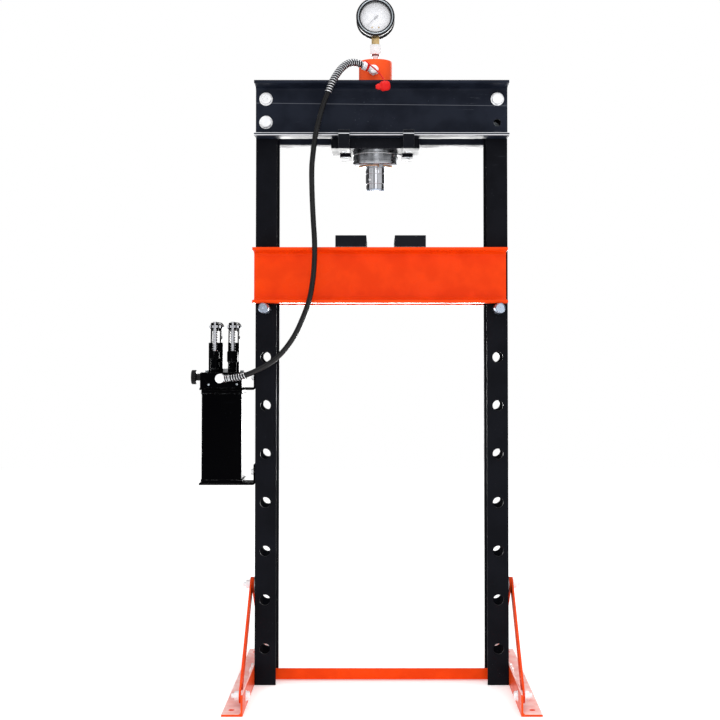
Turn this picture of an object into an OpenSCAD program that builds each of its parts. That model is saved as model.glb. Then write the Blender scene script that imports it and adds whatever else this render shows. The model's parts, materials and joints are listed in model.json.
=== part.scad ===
// Hydraulic shop press: H-frame of channel steel, adjustable bed on pins,
// sliding hydraulic cylinder under the head, hand pump on the left upright.
// X across the frame, Y to the back, Z up, origin on the floor at the centre.

/* [Frame] */
// width over the uprights
frame_w = 644; // [600:2:720]
// height of the uprights
frame_h = 1528; // [1500:2:1600]
// depth of an upright channel
post_d = 100; // [96:1:106]
// flange width of an upright channel
post_b = 54; // [50:1:60]
// web thickness of an upright channel
post_web = 6; // [5:0.5:7]
// mean flange thickness of an upright channel
post_fl = 7.5; // [6:0.5:9]
// height of the head and bed channels
beam_h = 140; // [130:1:150]
// flange width of the head and bed channels
beam_b = 60; // [54:1:64]
// web thickness of the head and bed channels
beam_web = 7; // [6:0.5:8]
// mean flange thickness of the head and bed channels
beam_fl = 9; // [8:0.5:10]

/* [Bed and pins] */
// hole pitch of the bed positions
pitch = 123; // [120:1:124]
// height of the lowest pin hole
hole_z = 91; // [88:1:96]
// room from the bed pins up to the head that the uppermost bed position leaves
bed_room = 340; // [332:1:360]
// bed pin diameter
pin_d = 26; // [24:0.5:28]
// radial clearance of a pin in its holes
pin_gap = 0.3; // [0.3:0.1:0.6]
// how far a pin stands out at the front and the back
pin_out = 76; // [64:1:90]
// gap between the uprights and the bed channels
bed_gap = 2; // [1:0.5:4]
// sideways play taken up by the bed
bed_shift = -4; // [-6:1:0]
// height of a support block
block_h = 30; // [20:1:34]
// width of a support block
block_w = 78; // [60:1:84]

/* [Cylinder and ram] */
// centre of the carriage across the frame
carr_x = -16; // [-30:1:0]
// width of the carriage plate
carr_w = 226; // [200:2:240]
// thickness of the carriage plate
carr_t = 26; // [22:1:28]
// outside diameter of the cylinder
cyl_d = 86; // [80:1:90]
// height of the cylinder above the head
cyl_rise = 69; // [66:1:72]
// wall of the cylinder
cyl_wall = 10; // [8:1:11]
// diameter of the threaded collar under the plate
collar_d = 116; // [110:1:120]
// height of the collar
collar_h = 39; // [36:1:42]
// ram diameter
ram_d = 50; // [44:1:52]
// how far the ram stands out of the collar at rest
ram_out = 64.7; // [56:0.1:72]
// radial clearance of the ram in its gland
ram_gap = 0.06; // [0.03:0.01:0.1]

/* [Gauge] */
// diameter of the gauge case
gauge_d = 100; // [90:1:104]
// height of the gauge centre above the cylinder
gauge_rise = 113; // [111:1:119]

/* [Pump] */
// gap between the left upright and the oil reservoir
pump_gap = 35; // [33:1:39]
// width of the oil reservoir
res_w = 102; // [94:1:106]
// depth of the oil reservoir
res_d = 100; // [90:1:104]
// top of the lower bracket and bottom of the reservoir
res_z = 508; // [500:1:515]
// height of the reservoir
res_h = 237; // [230:1:240]
// arm from the rocker pivot to the plunger pin
arm = 30; // [28:1:32]
// height of the rocker pivots above the pump head block
piv_h = 118; // [115:1:121]

/* [Feet] */
// length of a foot, front to back
foot_l = 680; // [600:5:720]
// leg width of a foot angle
foot_b = 50; // [46:1:56]
// thickness of a foot angle
foot_t = 5; // [4:0.5:6]
// height of the upper brace bolt
brace_z = 246; // [230:1:270]
// width of a brace bar
brace_b = 40; // [34:1:44]

/* [Hose] */
// outside diameter of the hose
hose_d = 13.5; // [12:0.5:14]

/* [Hidden] */
$fn = 64;
black = [0.06, 0.06, 0.08];
orange = [1.0, 0.34, 0.10];
steel = [0.75, 0.77, 0.80];
zinc = [0.80, 0.82, 0.84];
brass = [0.80, 0.62, 0.28];
red = [0.80, 0.06, 0.05];
px = frame_w/2;                      // outer face of an upright
py = post_d/2;                       // front face of an upright
hx = px - 26;                        // pin hole and head bolt line
head_z = frame_h - beam_h;           // underside of the head
hole_n = 1 + floor((head_z - bed_room - hole_z)/pitch); // bed positions that are drilled
pin_z = hole_z + (hole_n - 1)*pitch; // level of the bed pins
bed_z = pin_z + pin_d/2 + 0.3;       // underside of the bed
bed_y = py + bed_gap;                // inner face of a bed channel
bed_top = bed_z + beam_h;
bed_l = frame_w - 2;
spacer_x = px - post_b - 22;         // cross plates between the bed channels
block_x = [-77.5, 72];               // middles of the two blocks
bolt_z = [head_z + 101, head_z + 41];
plate_z1 = head_z - 0.3;             // top of the carriage plate
plate_z0 = plate_z1 - carr_t;
col_z0 = plate_z0 - collar_h;
cyl_r = cyl_d/2;
bore_r = cyl_r - cyl_wall;
ram_r = ram_d/2;
cyl_top = frame_h + cyl_rise;
ram_z = col_z0 - ram_out;            // lowest point of the ram nose at rest
pz0 = cyl_top - 46;                  // piston top at rest
gauge_z = cyl_top + gauge_rise;
pump_x = -px - pump_gap - res_w/2;   // middle of the pump
man_z0 = res_z + res_h + 5;          // pump head block
man_z1 = man_z0 + 39;
man_x0 = pump_x - 55;
man_x1 = pump_x + 52;
unit_x = [pump_x - 22, pump_x + 24]; // the two pump units
plg_y = -10;                         // plunger axis
piv_y = plg_y + arm;
piv_z = man_z1 + piv_h;
gl_z = man_z1 + 55;                  // top of the gland nuts
knob_z = man_z1 - 12;
tie_z0 = 3;

// channel profile: u out from the web's back, v up
function chan(h, b, tw, tf) = [[0, 0], [b, 0], [b, tf*0.8], [b - 3, tf*0.8 + 1.2],
    [tw + 5, tf*1.12], [tw, tf*1.12 + 4], [tw, h - tf*1.12 - 4],
    [tw + 5, h - tf*1.12], [b - 3, h - tf*0.8 - 1.2], [b, h - tf*0.8], [b, h], [0, h]];
// rounded rectangle outline
module rrect(w, d, r) { hull() for (i = [-1, 1], j = [-1, 1])
    translate([i*(w/2 - r), j*(d/2 - r)]) circle(r); }
// horizontal beam channel along X, flanges towards -Y (s = -1) or +Y (s = 1)
module beam(len, s) { scale([1, s, 1]) translate([-len/2, 0, 0]) rotate([90, 0, 90])
    linear_extrude(len) polygon(chan(beam_h, beam_b, beam_web, beam_fl)); }
module alongy(x, z, y0, y1, d) { translate([x, y0, z]) rotate([-90, 0, 0]) cylinder(h = y1 - y0, d = d); }
module alongx(y, z, x0, x1, d) { translate([x0, y, z]) rotate([0, 90, 0]) cylinder(h = x1 - x0, d = d); }
// hexagon prism along Z, across flats af
module hexz(af, h) { cylinder(h = h, d = af/cos(30), $fn = 6); }
// bevelled hexagon head or nut along Z
module hexnut(af, h) { intersection() { hexz(af, h); cylinder(h = h, d1 = af*1.14, d2 = af*1.02); } }
// swept tube: rings around route points
function unit(v) = v/norm(v);
function tan_at(p, i) = unit(p[min(i + 1, len(p) - 1)] - p[max(i - 1, 0)]);
function side_at(t) = unit(cross(t, abs(t[2]) < 0.9 ? [0, 0, 1] : [0, 1, 0]));
function carry(s, t) = unit(s - (s*t)*t);
function sides(p, i, s) = i == len(p) ? [] : let (q = carry(s, tan_at(p, i))) concat([q], sides(p, i + 1, q));
function ring(p, i, s, r, n) = let (t = tan_at(p, i), b = cross(t, s))
    [for (k = [0:n - 1]) p[i] + r*(cos(360*k/n)*s + sin(360*k/n)*b)];
module sweep(p, r, n) {
    m = len(p);
    s = sides(p, 0, side_at(tan_at(p, 0)));
    pts = [for (i = [0:m - 1]) each ring(p, i, s[i], r, n)];
    walls = [for (i = [0:m - 2], k = [0:n - 1])
        [i*n + k, i*n + (k + 1)%n, (i + 1)*n + (k + 1)%n, (i + 1)*n + k]];
    polyhedron(pts, concat([[for (k = [0:n - 1]) n - 1 - k]], walls,
        [[for (k = [0:n - 1]) (m - 1)*n + k]]), convexity = 10);
}
// points of a coil about Z
function coil(x, y, z0, z1, r, turns, per) = [for (i = [0:turns*per])
    [x + r*cos(360*i/per), y + r*sin(360*i/per), z0 + (z1 - z0)*i/(turns*per)]];
// smooth route through the hand-set stations
function cr(a, b, c, d, t) = 0.5*((2*b) + (c - a)*t + (2*a - 5*b + 4*c - d)*t*t
    + (3*b - a - 3*c + d)*t*t*t);
function route(p, k) = [for (i = [0:len(p) - 2], j = [0:k - 1])
    cr(p[max(i - 1, 0)], p[i], p[i + 1], p[min(i + 2, len(p) - 1)], j/k), p[len(p) - 1]];
hose_pts = [[-50, -67, 1575], [-66, -75, 1579], [-82, -86, 1576], [-98, -99, 1563],
    [-112, -113, 1543], [-124, -124, 1519], [-135, -129, 1492], [-147, -130, 1460],
    [-158, -129, 1420], [-167, -128, 1378], [-172, -127, 1338], [-175, -126, 1298],
    [-174, -126, 1236], [-171, -126, 1172], [-168, -126, 1122], [-168, -126, 1072],
    [-172, -125, 1022], [-181, -124, 972], [-198, -121, 925], [-220, -116, 880],
    [-251, -109, 839], [-286, -101, 811], [-320, -93, 793], [-352, -86, 781],
    [-384, -79, 776]];

// ---------------------------------------------------------------- frame
module post(s) { color(black) difference() {
    translate([s*px, 0, 0]) scale([-s, 1, 1]) translate([0, -py, 0])
        linear_extrude(frame_h) polygon(chan(post_d, post_b, post_web, post_fl));
    for (k = [0:hole_n - 1]) alongy(s*hx, hole_z + k*pitch, -py - 1, py + 1, pin_d + 2*pin_gap);
    for (z = bolt_z) alongy(s*hx, z, -py - 1, py + 1, 19);
    alongx(0, brace_z, s*px - 12, s*px + 12, 13);
    for (y = [-22, 22]) alongx(y, 28, s*px - 12, s*px + 12, 13);
    if (s < 0) for (z = [res_z + 27, res_z + res_h + 32], y = [-26, 26])
        alongx(y, z, -px - 12, -px + 12, 9);
} }
module upright_left() { post(-1); }
module upright_right() { post(1); }
module head(s) { color(black) difference() {
    translate([0, s*py, head_z]) beam(frame_w, s);
    for (i = [-1, 1], z = bolt_z) alongy(i*hx, z, s > 0 ? py - 1 : -py - beam_web - 1,
        s > 0 ? py + beam_web + 1 : -py + 1, 19);
} }
module head_front() { head(-1); }
module head_rear() { head(1); }
// bolt along Y with its head outside the front or rear web
module head_bolt(x, z, s) { translate([x, s*(py + beam_web), z]) rotate([s > 0 ? -90 : 90, 0, 0]) {
    translate([0, 0, 2.5]) hexnut(27, 11);
    cylinder(h = 2.5, d = 34);
    translate([0, 0, -beam_web - post_fl*1.2 - 21]) cylinder(h = beam_web + post_fl*1.2 + 22, d = 18.4); } }
module head_bolts() { color(zinc) for (s = [-1, 1], i = [-1, 1], k = [0, 1])
    if (!(s == -1 && i == 1 && k == 1)) head_bolt(i*hx, bolt_z[k], s); }
module head_nuts() { color(zinc) for (s = [-1, 1], i = [-1, 1], k = [0, 1])
    if (!(s == -1 && i == 1 && k == 1)) translate([i*hx, s*(py - post_fl*1.12 - 4), bolt_z[k]])
        rotate([s > 0 ? 90 : -90, 0, 0]) difference() {
            union() { translate([0, 0, 2.5]) hexnut(27, 13); cylinder(h = 2.5, d = 32); }
            translate([0, 0, -1]) cylinder(h = 20, d = 18.4); } }
// foot angle: one leg against the upright web, one on the floor
module foot(s) { color(orange) difference() {
    union() {
        translate([s > 0 ? px : -px - foot_t, -foot_l/2, 0]) cube([foot_t, foot_l, foot_b]);
        translate([s > 0 ? px : -px - foot_b, -foot_l/2, 0]) cube([foot_b, foot_l, foot_t]);
        translate([s*(px + foot_t), -foot_l/2, foot_t]) rotate([-90, 0, 0]) linear_extrude(foot_l)
            polygon([[0, 0], [s*4, 0], [s*1.2, -1.2], [0, -4]]);
    }
    for (y = [-1, 1]) translate([s*(px + 30), y*(foot_l/2 - 40), -1]) cylinder(h = foot_t + 2, d = 14);
    for (y = [-1, 1]) alongx(y*(foot_l/2 - 72), 30, s*px - 12, s*px + 12, 13);
    for (y = [-22, 22]) alongx(y, 28, s*px - 12, s*px + 12, 13);
} }
module foot_left() { foot(-1); }
module foot_right() { foot(1); }
// flat brace from the upright web down to the end of a foot; the front one lies outside
brace_t = 5;
brace_y = foot_l/2 - 72;
function brace_x(e) = px + foot_t + (e < 0 ? brace_t : 0);
module brace(s, e) { color(orange) difference() {
    translate([s > 0 ? brace_x(e) : -brace_x(e) - brace_t, 0, 0]) rotate([90, 0, 90])
        linear_extrude(brace_t) hull() {
            translate([0, brace_z]) circle(brace_b/2 - 2);
            translate([e*brace_y, 30]) circle(brace_b/2 - 2);
        }
    alongx(0, brace_z, s*(px + 20) - 22, s*(px + 20) + 22, 13);
    alongx(e*brace_y, 30, s*(px + 20) - 22, s*(px + 20) + 22, 13);
} }
module brace_front_left() { brace(-1, -1); }
module brace_rear_left() { brace(-1, 1); }
module brace_front_right() { brace(1, -1); }
module brace_rear_right() { brace(1, 1); }
// bolt along X: head outside, nut inside, both with washers
module xbolt(s, y, z, xi, xo, d, af) {
    translate([s*xo, y, z]) rotate([0, s*90, 0]) { cylinder(h = 2, d = af*1.35);
        translate([0, 0, 2]) hexnut(af, d*0.62); }
    alongx(y, z, s > 0 ? xi - d*0.8 - 4 : -xo - 1, s > 0 ? xo + 1 : -xi + d*0.8 + 4, d);
    translate([s*xi, y, z]) rotate([0, -s*90, 0]) { cylinder(h = 2, d = af*1.35);
        translate([0, 0, 2]) hexnut(af, d*0.8); } }
module spacer(s, y, z, x0, x1, d) { alongx(y, z, s > 0 ? x0 : -x1, s > 0 ? x1 : -x0, d); }
module brace_bolts() { color(zinc) for (s = [-1, 1]) {
    xbolt(s, 0, brace_z, px - post_web, brace_x(-1) + brace_t, 12, 19);
    spacer(s, 0, brace_z, px, px + foot_t, 26);
    for (e = [-1, 1]) xbolt(s, e*brace_y, 30, px, brace_x(e) + brace_t, 12, 19);
    spacer(s, -brace_y, 30, px + foot_t, px + foot_t + brace_t, 26);
} }
module foot_bolts() { color(zinc) for (s = [-1, 1], y = [-22, 22])
    xbolt(s, y, 28, px - post_web, px + foot_t, 12, 19); }
// angle bar welded between the two uprights just above the floor
module tie_bar() { color(orange) translate([-px + post_web, 0, tie_z0]) rotate([90, 0, 90])
    linear_extrude(frame_w - 2*post_web) polygon([[-2, 0], [26, 0], [26, 3.2], [25, 4], [6, 4],
        [3, 4.8], [2, 7], [2, 27], [1, 28], [-2, 28]]); }

// ---------------------------------------------------------------- bed
module bedchan(s) { color(orange) translate([bed_shift, s*bed_y, bed_z]) beam(bed_l, s); }
module bed_front() { bedchan(-1); }
module bed_rear() { bedchan(1); }
// welded cross plates that hold the two bed channels apart
module bed_spacers() { color(orange) for (i = [-1, 1])
    translate([bed_shift + i*spacer_x - 5, -bed_y, bed_z + 15]) difference() {
        cube([10, 2*bed_y, beam_h - 30]);
        translate([-1, bed_y, (beam_h - 30)/2]) rotate([0, 90, 0]) cylinder(h = 12, d = 40); } }
module bedpin(s) { color(steel) translate([s*hx, 0, pin_z]) rotate([90, 0, 0])
    rotate_extrude() polygon([[0, -py - pin_out], [pin_d/2 - 3, -py - pin_out],
        [pin_d/2, -py - pin_out + 3], [pin_d/2, py + pin_out - 3], [pin_d/2 - 3, py + pin_out],
        [0, py + pin_out]]); }
module bed_pin_left() { bedpin(-1); }
module bed_pin_right() { bedpin(1); }
blk_d = 2*(bed_y + beam_b);
module block(x) { color(black) translate([x - block_w/2, -blk_d/2, bed_top]) rotate([90, 0, 90])
    linear_extrude(block_w) polygon([[0, 1], [1, 0], [blk_d - 1, 0], [blk_d, 1],
        [blk_d, block_h - 1.5], [blk_d - 1.5, block_h], [1.5, block_h], [0, block_h - 1.5]]); }
module block_left() { block(block_x[0]); }
module block_right() { block(block_x[1]); }

// ---------------------------------------------------------------- carriage
cl_x = [carr_x - carr_w/2 + 34, carr_x + carr_w/2 - 29]; // clamp places across the plate
cl_w = 28;
clamp_y = py + beam_b + 0.5;           // inner face of a clamp's upright leg
module carriage_plate() { color(black) difference() {
    translate([carr_x, 0, plate_z0]) linear_extrude(carr_t) rrect(carr_w, 2*py + 24, 5);
    translate([carr_x, 0, plate_z0 - 1]) cylinder(h = carr_t + 2, d = cyl_d);
    for (x = cl_x, s = [-1, 1]) translate([x, s*(py - 2), plate_z0 - 1]) cylinder(h = 18, d = 8);
} }
// hook clamp: foot under the plate, leg outside the flange, lip over it
module clamp(x, s) { translate([x - cl_w/2, 0, 0]) scale([1, s, 1]) rotate([90, 0, 90])
    linear_extrude(cl_w) polygon([[py - 14, plate_z0 - 8], [clamp_y + 6, plate_z0 - 8],
        [clamp_y + 8, plate_z0 - 6], [clamp_y + 8, head_z + 13], [clamp_y - 9, head_z + 13],
        [clamp_y - 9, head_z + beam_fl*0.8 + 2.2 + 6*0.12], [clamp_y, head_z + beam_fl*0.8 + 0.6],
        [clamp_y, plate_z0], [py - 14, plate_z0]]); }
module carriage_clamps() { color(black) difference() {
    for (x = cl_x, s = [-1, 1]) clamp(x, s);
    for (x = cl_x, s = [-1, 1]) translate([x, s*(py - 2), plate_z0 - 9]) {
        cylinder(h = 10, d = 8); cylinder(h = 6.5, d = 13.4); }
} }
// screws sunk in the feet of the clamps
module clamp_screws() { color(zinc) for (x = cl_x, s = [-1, 1])
    translate([x, s*(py - 2), plate_z0 - 7.5]) difference() {
        union() { cylinder(h = 24, d = 8); cylinder(h = 5, d = 13); }
        translate([0, 0, -1]) hexz(6, 4); } }
// cylinder barrel: closed top with rounded edge, open at the bottom for the ram
hr = route(hose_pts, 3);
hn = len(hr);
hd0 = unit(hr[0] - hr[1]);            // out of the hose at its top end
hd1 = unit(hr[hn - 1] - hr[hn - 2]);  // out of the hose at its pump end
pe = [carr_x - 4.42, -cyl_r - 10, cyl_top - 31.24]; // middle of the elbow before the port
module cylinder_body() { color(orange) difference() {
    translate([carr_x, 0, 0]) rotate_extrude() polygon(concat(
        [[0, cyl_top - 23], [bore_r - 3, cyl_top - 23], [bore_r, cyl_top - 26],
        [bore_r, col_z0 + 46], [cyl_r, col_z0 + 46]],
        [for (a = [0:15:90]) [cyl_r - 8 + 8*cos(a), cyl_top - 8 + 8*sin(a)]], [[0, cyl_top]]));
    translate([carr_x, 0, cyl_top - 24]) cylinder(h = 30, d = 12);
    alongy(pe[0], pe[2], -cyl_r - 2, -bore_r + 3, 14);
    // flats on a barrel that is wider than the slot between the head channels
    for (y = [-py + 1 - cyl_d, py - 1]) translate([carr_x - cyl_d, y, plate_z1])
        cube([2*cyl_d, cyl_d, frame_h + 2 - plate_z1]);
} }
// bright collar screwed on the barrel, with the gland bore for the ram
module cylinder_collar() { color(steel) translate([carr_x, 0, 0]) rotate_extrude() polygon([
    [collar_d/2, plate_z0], [cyl_r, plate_z0], [cyl_r, col_z0 + 46], [bore_r, col_z0 + 46],
    [bore_r, col_z0 + 40], [ram_r + ram_gap, col_z0 + 40], [ram_r + ram_gap, col_z0 - 4],
    [collar_d/2 - 16, col_z0 - 4], [collar_d/2 - 16, col_z0], [collar_d/2 - 2, col_z0],
    [collar_d/2, col_z0 + 2], [collar_d/2, plate_z0 - 11.5],
    [collar_d/2 - 2.5, plate_z0 - 11.5], [collar_d/2 - 2.5, plate_z0 - 7.5],
    [collar_d/2, plate_z0 - 7.5]]); }
// wire ring in the collar groove with a turned-out end
module snap_ring() { color(steel) translate([carr_x, 0, plate_z0 - 9.5]) {
    rotate([0, 0, 12]) rotate_extrude(angle = 330) translate([collar_d/2 - 0.9, 0]) circle(1.6);
    rotate([0, 0, -18]) translate([collar_d/2 - 0.9, 0, 0]) rotate([0, 90, -20])
        cylinder(h = 11, r = 1.6);
} }
// ram: bright bar with a groove and a narrower nose seat
module ram_rod() { color(steel) translate([carr_x, 0, 0]) difference() {
    rotate_extrude() polygon([[0, ram_z + 6], [ram_r - 1.2, ram_z + 6], [ram_r - 1.2, ram_z + 18.5],
        [ram_r, ram_z + 19.5], [ram_r, pz0 - 24], [12, pz0 - 24], [12, pz0 - 2], [0, pz0 - 2]]);
    translate([-ram_r*0.6, -ram_r*0.72, ram_z + 29]) rotate([90, 0, -40])
        cylinder(h = 12, d = 6, center = true);
    translate([0, 0, ram_z]) cylinder(h = 16, d = 20);
} }
module ram_nose() { color(steel) translate([carr_x, 0, 0]) rotate_extrude() polygon([
    [0, ram_z], [ram_r - 3.5, ram_z], [ram_r - 1.2, ram_z + 2.3], [ram_r - 1.2, ram_z + 6],
    [10, ram_z + 6], [10, ram_z + 16], [0, ram_z + 16]]); }
// piston on the head of the ram, inside the barrel
module ram_piston() { color(steel) translate([carr_x, 0, 0]) rotate_extrude() polygon([
    [12, pz0 - 24], [bore_r - ram_gap, pz0 - 24], [bore_r - ram_gap, pz0 - 16],
    [bore_r - 1.8, pz0 - 16], [bore_r - 1.8, pz0 - 9], [bore_r - ram_gap, pz0 - 9],
    [bore_r - ram_gap, pz0], [0, pz0], [0, pz0 - 2], [12, pz0 - 2]]); }
module return_spring() { color(steel)
    sweep(coil(carr_x, 0, col_z0 + 41.8, pz0 - 25.8, (ram_r + bore_r)/2, 11, 12), 1.8, 6); }

// ---------------------------------------------------------------- gauge
module gauge_adapter() { color(steel) translate([carr_x, 0, 0]) {
    translate([0, 0, cyl_top - 20]) cylinder(h = 22, d = 12);
    translate([0, 0, cyl_top]) cylinder(h = 18.6, d = 14);
    translate([0, 0, cyl_top + 12]) cylinder(h = 3, d = 20);
    translate([0, 0, cyl_top + 18.6]) hexnut(27, 26);
} }
sock_z = cyl_top + 44.6;
module gauge_socket() { color(brass) translate([carr_x, 0, 0]) {
    translate([-10, -7, sock_z]) cube([20, 14, gauge_z - gauge_d/2 - sock_z + 6]);
} }
// case: flat drum with a bezel in front and a mounting flange behind
g_r = gauge_d/2;
module gauge_case() { color(black) translate([carr_x, 0, gauge_z]) rotate([90, 0, 0]) difference() {
    union() {
        rotate_extrude() polygon([[0, -20], [g_r, -20], [g_r, -17], [g_r - 4, -16], [g_r - 4, 16],
            [g_r, 17], [g_r, 26], [g_r - 3, 29], [g_r - 10, 29], [g_r - 11, 26.6], [g_r - 11, 12], [0, 12]]);
        for (a = [-30, 90, 210]) rotate([0, 0, a]) translate([g_r - 4, 0, -23]) cylinder(h = 4, d = 6);
    }
    translate([-10, -g_r - 8, -7]) cube([20, 14, 14]);
} }
module gauge_dial() { color([0.96, 0.96, 0.95]) translate([carr_x, -12, gauge_z]) rotate([90, 0, 0]) {
    difference() { cylinder(h = 1.2, r = g_r - 11.2); translate([0, 0, -1]) cylinder(h = 4, d = 3.4); }
    for (x = [-8.5, 8.5]) translate([x, -25, 1.2]) cylinder(h = 1.2, d = 4.4);
} }
module gauge_glass() { color([0.85, 0.9, 0.92]) translate([carr_x, -24, gauge_z]) rotate([90, 0, 0])
    cylinder(h = 2.5, r = g_r - 11); }
module gauge_pointer() { color([0.30, 0.30, 0.32]) translate([carr_x, -14.4, gauge_z]) rotate([90, 0, 0]) {
    cylinder(h = 3.4, d = 6);
    translate([0, 0, -2.3]) cylinder(h = 3, d = 3.3);
    rotate([0, 0, 225]) translate([0, 0, 1]) linear_extrude(0.8)
        polygon([[-9, -1.6], [0, -1.2], [32, -0.3], [32, 0.3], [0, 1.2], [-9, 1.6]]);
} }

// ---------------------------------------------------------------- hose line
// turned pipe piece from point a to point b
module pipe(a, b, d) { v = b - a; translate(a)
    rotate([0, acos(v[2]/norm(v)), atan2(v[1], v[0])]) cylinder(h = norm(v), d = d); }
module port_coupler() { color(zinc) {
    alongy(pe[0], pe[2], pe[1] - 6, -bore_r + 2, 14);
    alongy(pe[0], pe[2], pe[1] - 9, -cyl_r - 0.5, 24);
    pipe(pe, pe - 33.8*hd0, 17);
    pipe(pe - 23*hd0, pe - 31*hd0, 21.5);
} }
// red dust cap on a strap round the coupler, hanging in front of the head
cap_c = [pe[0] + 24.4, -py - beam_b - 16, pe[2] - 56.7];
reach = (pe[1] - cap_c[1])/73; // strap's way to the front, over the way it is drawn for
strap = [for (q = [[-21.6, -11, 20.3], [-9.6, -21, 8.3], [3.4, -36, -5.7], [14.4, -52, -19.7],
    [23.4, -66, -34.7], [26.4, -71, -44.7]]) pe + [q[0], q[1]*reach, q[2]]];
module dust_cap() { color(red) {
    for (i = [0:len(strap) - 2]) pipe(strap[i], strap[i + 1], 3.2);
    for (i = [1:len(strap) - 2]) translate(strap[i]) sphere(d = 4);
    pipe(pe - 17*hd0, pe - 22*hd0, 22);
    pipe(pe - 19*hd0, strap[0], 4.5);
    translate(strap[0]) sphere(d = 5.4);
    pipe(cap_c + [13, 2, 2], cap_c + [-5, -1, -1], 25);
    pipe(cap_c + [16, 2.3, 2.3], cap_c + [-8, -1.3, -1.3], 20);
    pipe(cap_c, cap_c + [-19, -3, -3], 15);
} }
module hose() { color([0.05, 0.05, 0.05]) sweep(hr, hose_d/2, 12); }
// steel coil guard round a hose end: stations i0 to i1 of the route
module guard(i0, i1) {
    p = route([for (i = [i0:i1]) hose_pts[i]], 8);
    n = len(p);
    turns = 2.4*(i1 - i0);
    c = [for (i = [0:n*4]) let (t = 0.6 + i/(n*4)*(n - 2.2), k = min(floor(t), n - 2), f = t - k,
        q = p[k]*(1 - f) + p[k + 1]*f, w = unit(p[k + 1] - p[k]), u = side_at(w), v = cross(w, u),
        a = 360*turns*i/(n*4)) q + (hose_d/2 + 1.8)*(cos(a)*u + sin(a)*v)];
    sweep(c, 1.3, 5);
}
module hose_guard_top() { color(steel) guard(0, 5); }
module hose_guard_bottom() { color(steel) guard(len(hose_pts) - 3, len(hose_pts) - 1); }
el = [pump_x - 1, -py - 26, man_z1 - 14]; // middle of the pump elbow
module pump_elbow() { color(zinc) {
    alongy(el[0], el[2], el[1] - 9, -py + 4, 13);
    alongy(el[0], el[2], el[1] - 11, -py - 12, 24);
    alongy(el[0], el[2], -py - 12, -py, 19);
    pipe(el + [-0.21, 2.52, -2.15], el + [-0.21, 2.52, -2.15] - 25.8*hd1, 17);
} }

// ---------------------------------------------------------------- pump
module pump_reservoir() { color(black) translate([pump_x, 0, res_z]) {
    linear_extrude(res_h) rrect(res_w, res_d, 6);
    for (z = [0, res_h - 8]) translate([0, 0, z]) linear_extrude(8) rrect(res_w + 3, res_d + 3, 7);
} }
module pump_manifold() { color(black) difference() {
    translate([man_x0, -py, man_z0]) cube([man_x1 - man_x0, 2*py - 4, man_z1 - man_z0]);
    alongx(0, knob_z, man_x0 - 1, man_x0 + 25, 18.12);
    alongy(el[0], el[2], -py - 1, -py + 4, 13);
    for (x = unit_x) translate([x, plg_y, man_z1 - 20]) cylinder(h = 21, d = 16);
    translate([pump_x + 1, 34, man_z1 - 10]) cylinder(h = 11, d = 14);
    translate([man_x0 + 22, -py - 1, man_z0 + 9]) rotate([-90, 0, 0]) cylinder(h = 4, d = 6);
} }
// bracket plate: flat under the pump part, turned up against the upright
module bracket(z0) { color(black) difference() {
    union() {
        translate([pump_x - 58, -40, z0]) cube([-px - pump_x + 58 - 8, 80, 5]);
        translate([-px - 8, -40, z0 + 8]) rotate([-90, 0, 0]) difference() {
            cylinder(h = 80, r = 8); translate([0, 0, -1]) cylinder(h = 82, r = 3);
            translate([-20, -20, -1]) cube([20, 40, 82]); translate([-1, -20, -1]) cube([20, 20, 82]); }
        translate([-px - 5, -40, z0 + 8]) cube([5, 80, 44]);
    }
    for (y = [-26, 26]) alongx(y, z0 + 32, -px - 20, -px + 2, 9);
} }
module pump_brackets() { bracket(res_z - 5); bracket(res_z + res_h); }
module pump_bolts() { color(zinc) for (z = [res_z - 5, res_z + res_h], y = [-26, 26])
    xbolt(-1, y, z + 32, px - post_web, px + 5, 8, 13); }
// release valve: knurled knob and stem, turns about X
module release_knob() { color(black) translate([man_x0 - 28, 0, knob_z]) rotate([0, 90, 0]) {
    difference() { cylinder(h = 13, d = 37);
        for (a = [0:20:340]) rotate([0, 0, a]) translate([19.4, 0, -1]) cylinder(h = 15, d = 3.2); }
    cylinder(h = 28 + 20, d = 18);
} }
module filler_plug() { color(zinc) translate([pump_x + 1, 34, man_z1 - 9]) {
    cylinder(h = 10, d = 14); translate([0, 0, 9]) hexnut(17, 9); } }
// pump barrel with its gland nut
module barrel(x, d, af, h) { color(black) translate([x, plg_y, 0]) difference() {
    union() {
        translate([0, 0, man_z1 - 19]) cylinder(h = 22, d = 16);
        translate([0, 0, man_z1]) cylinder(h = gl_z - man_z1 - 2, d = d);
        translate([0, 0, gl_z - h]) hexnut(af, h);
    }
    translate([0, 0, man_z1 + 4]) cylinder(h = 90, d = 9.1);
} }
module pump_barrel_left() { barrel(unit_x[0], 22, 24, 20); }
module pump_barrel_right() { barrel(unit_x[1], 19, 27, 28); }
// fulcrum bracket behind the barrel: back plate and two ears
module fulcrum(x, w) { color(black) difference() {
    union() {
        translate([x - w/2, 8, man_z1]) cube([w, 6, piv_z - 41 - man_z1]);
        for (s = [-1, 1]) translate([x + (s > 0 ? 10.2 : -13.7), 0, 0]) rotate([90, 0, 90])
            linear_extrude(3.5) polygon([[8, man_z1], [34, man_z1], [34, piv_z - 45], [piv_y + 8, piv_z - 2],
                [piv_y + 5, piv_z + 7], [piv_y - 5, piv_z + 7], [piv_y - 8, piv_z - 2], [8, piv_z - 41]]);
        alongx(piv_y + 4, piv_z - 28, x - 15, x - 10.2, 8);
        alongx(piv_y + 4, piv_z - 28, x + 10.2, x + 15, 8);
    }
    alongx(piv_y, piv_z, x - 16, x + 16, 8.1);
} }
module fulcrum_left() { fulcrum(unit_x[0], 37); }
module fulcrum_right() { fulcrum(unit_x[1], 29); }
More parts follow.
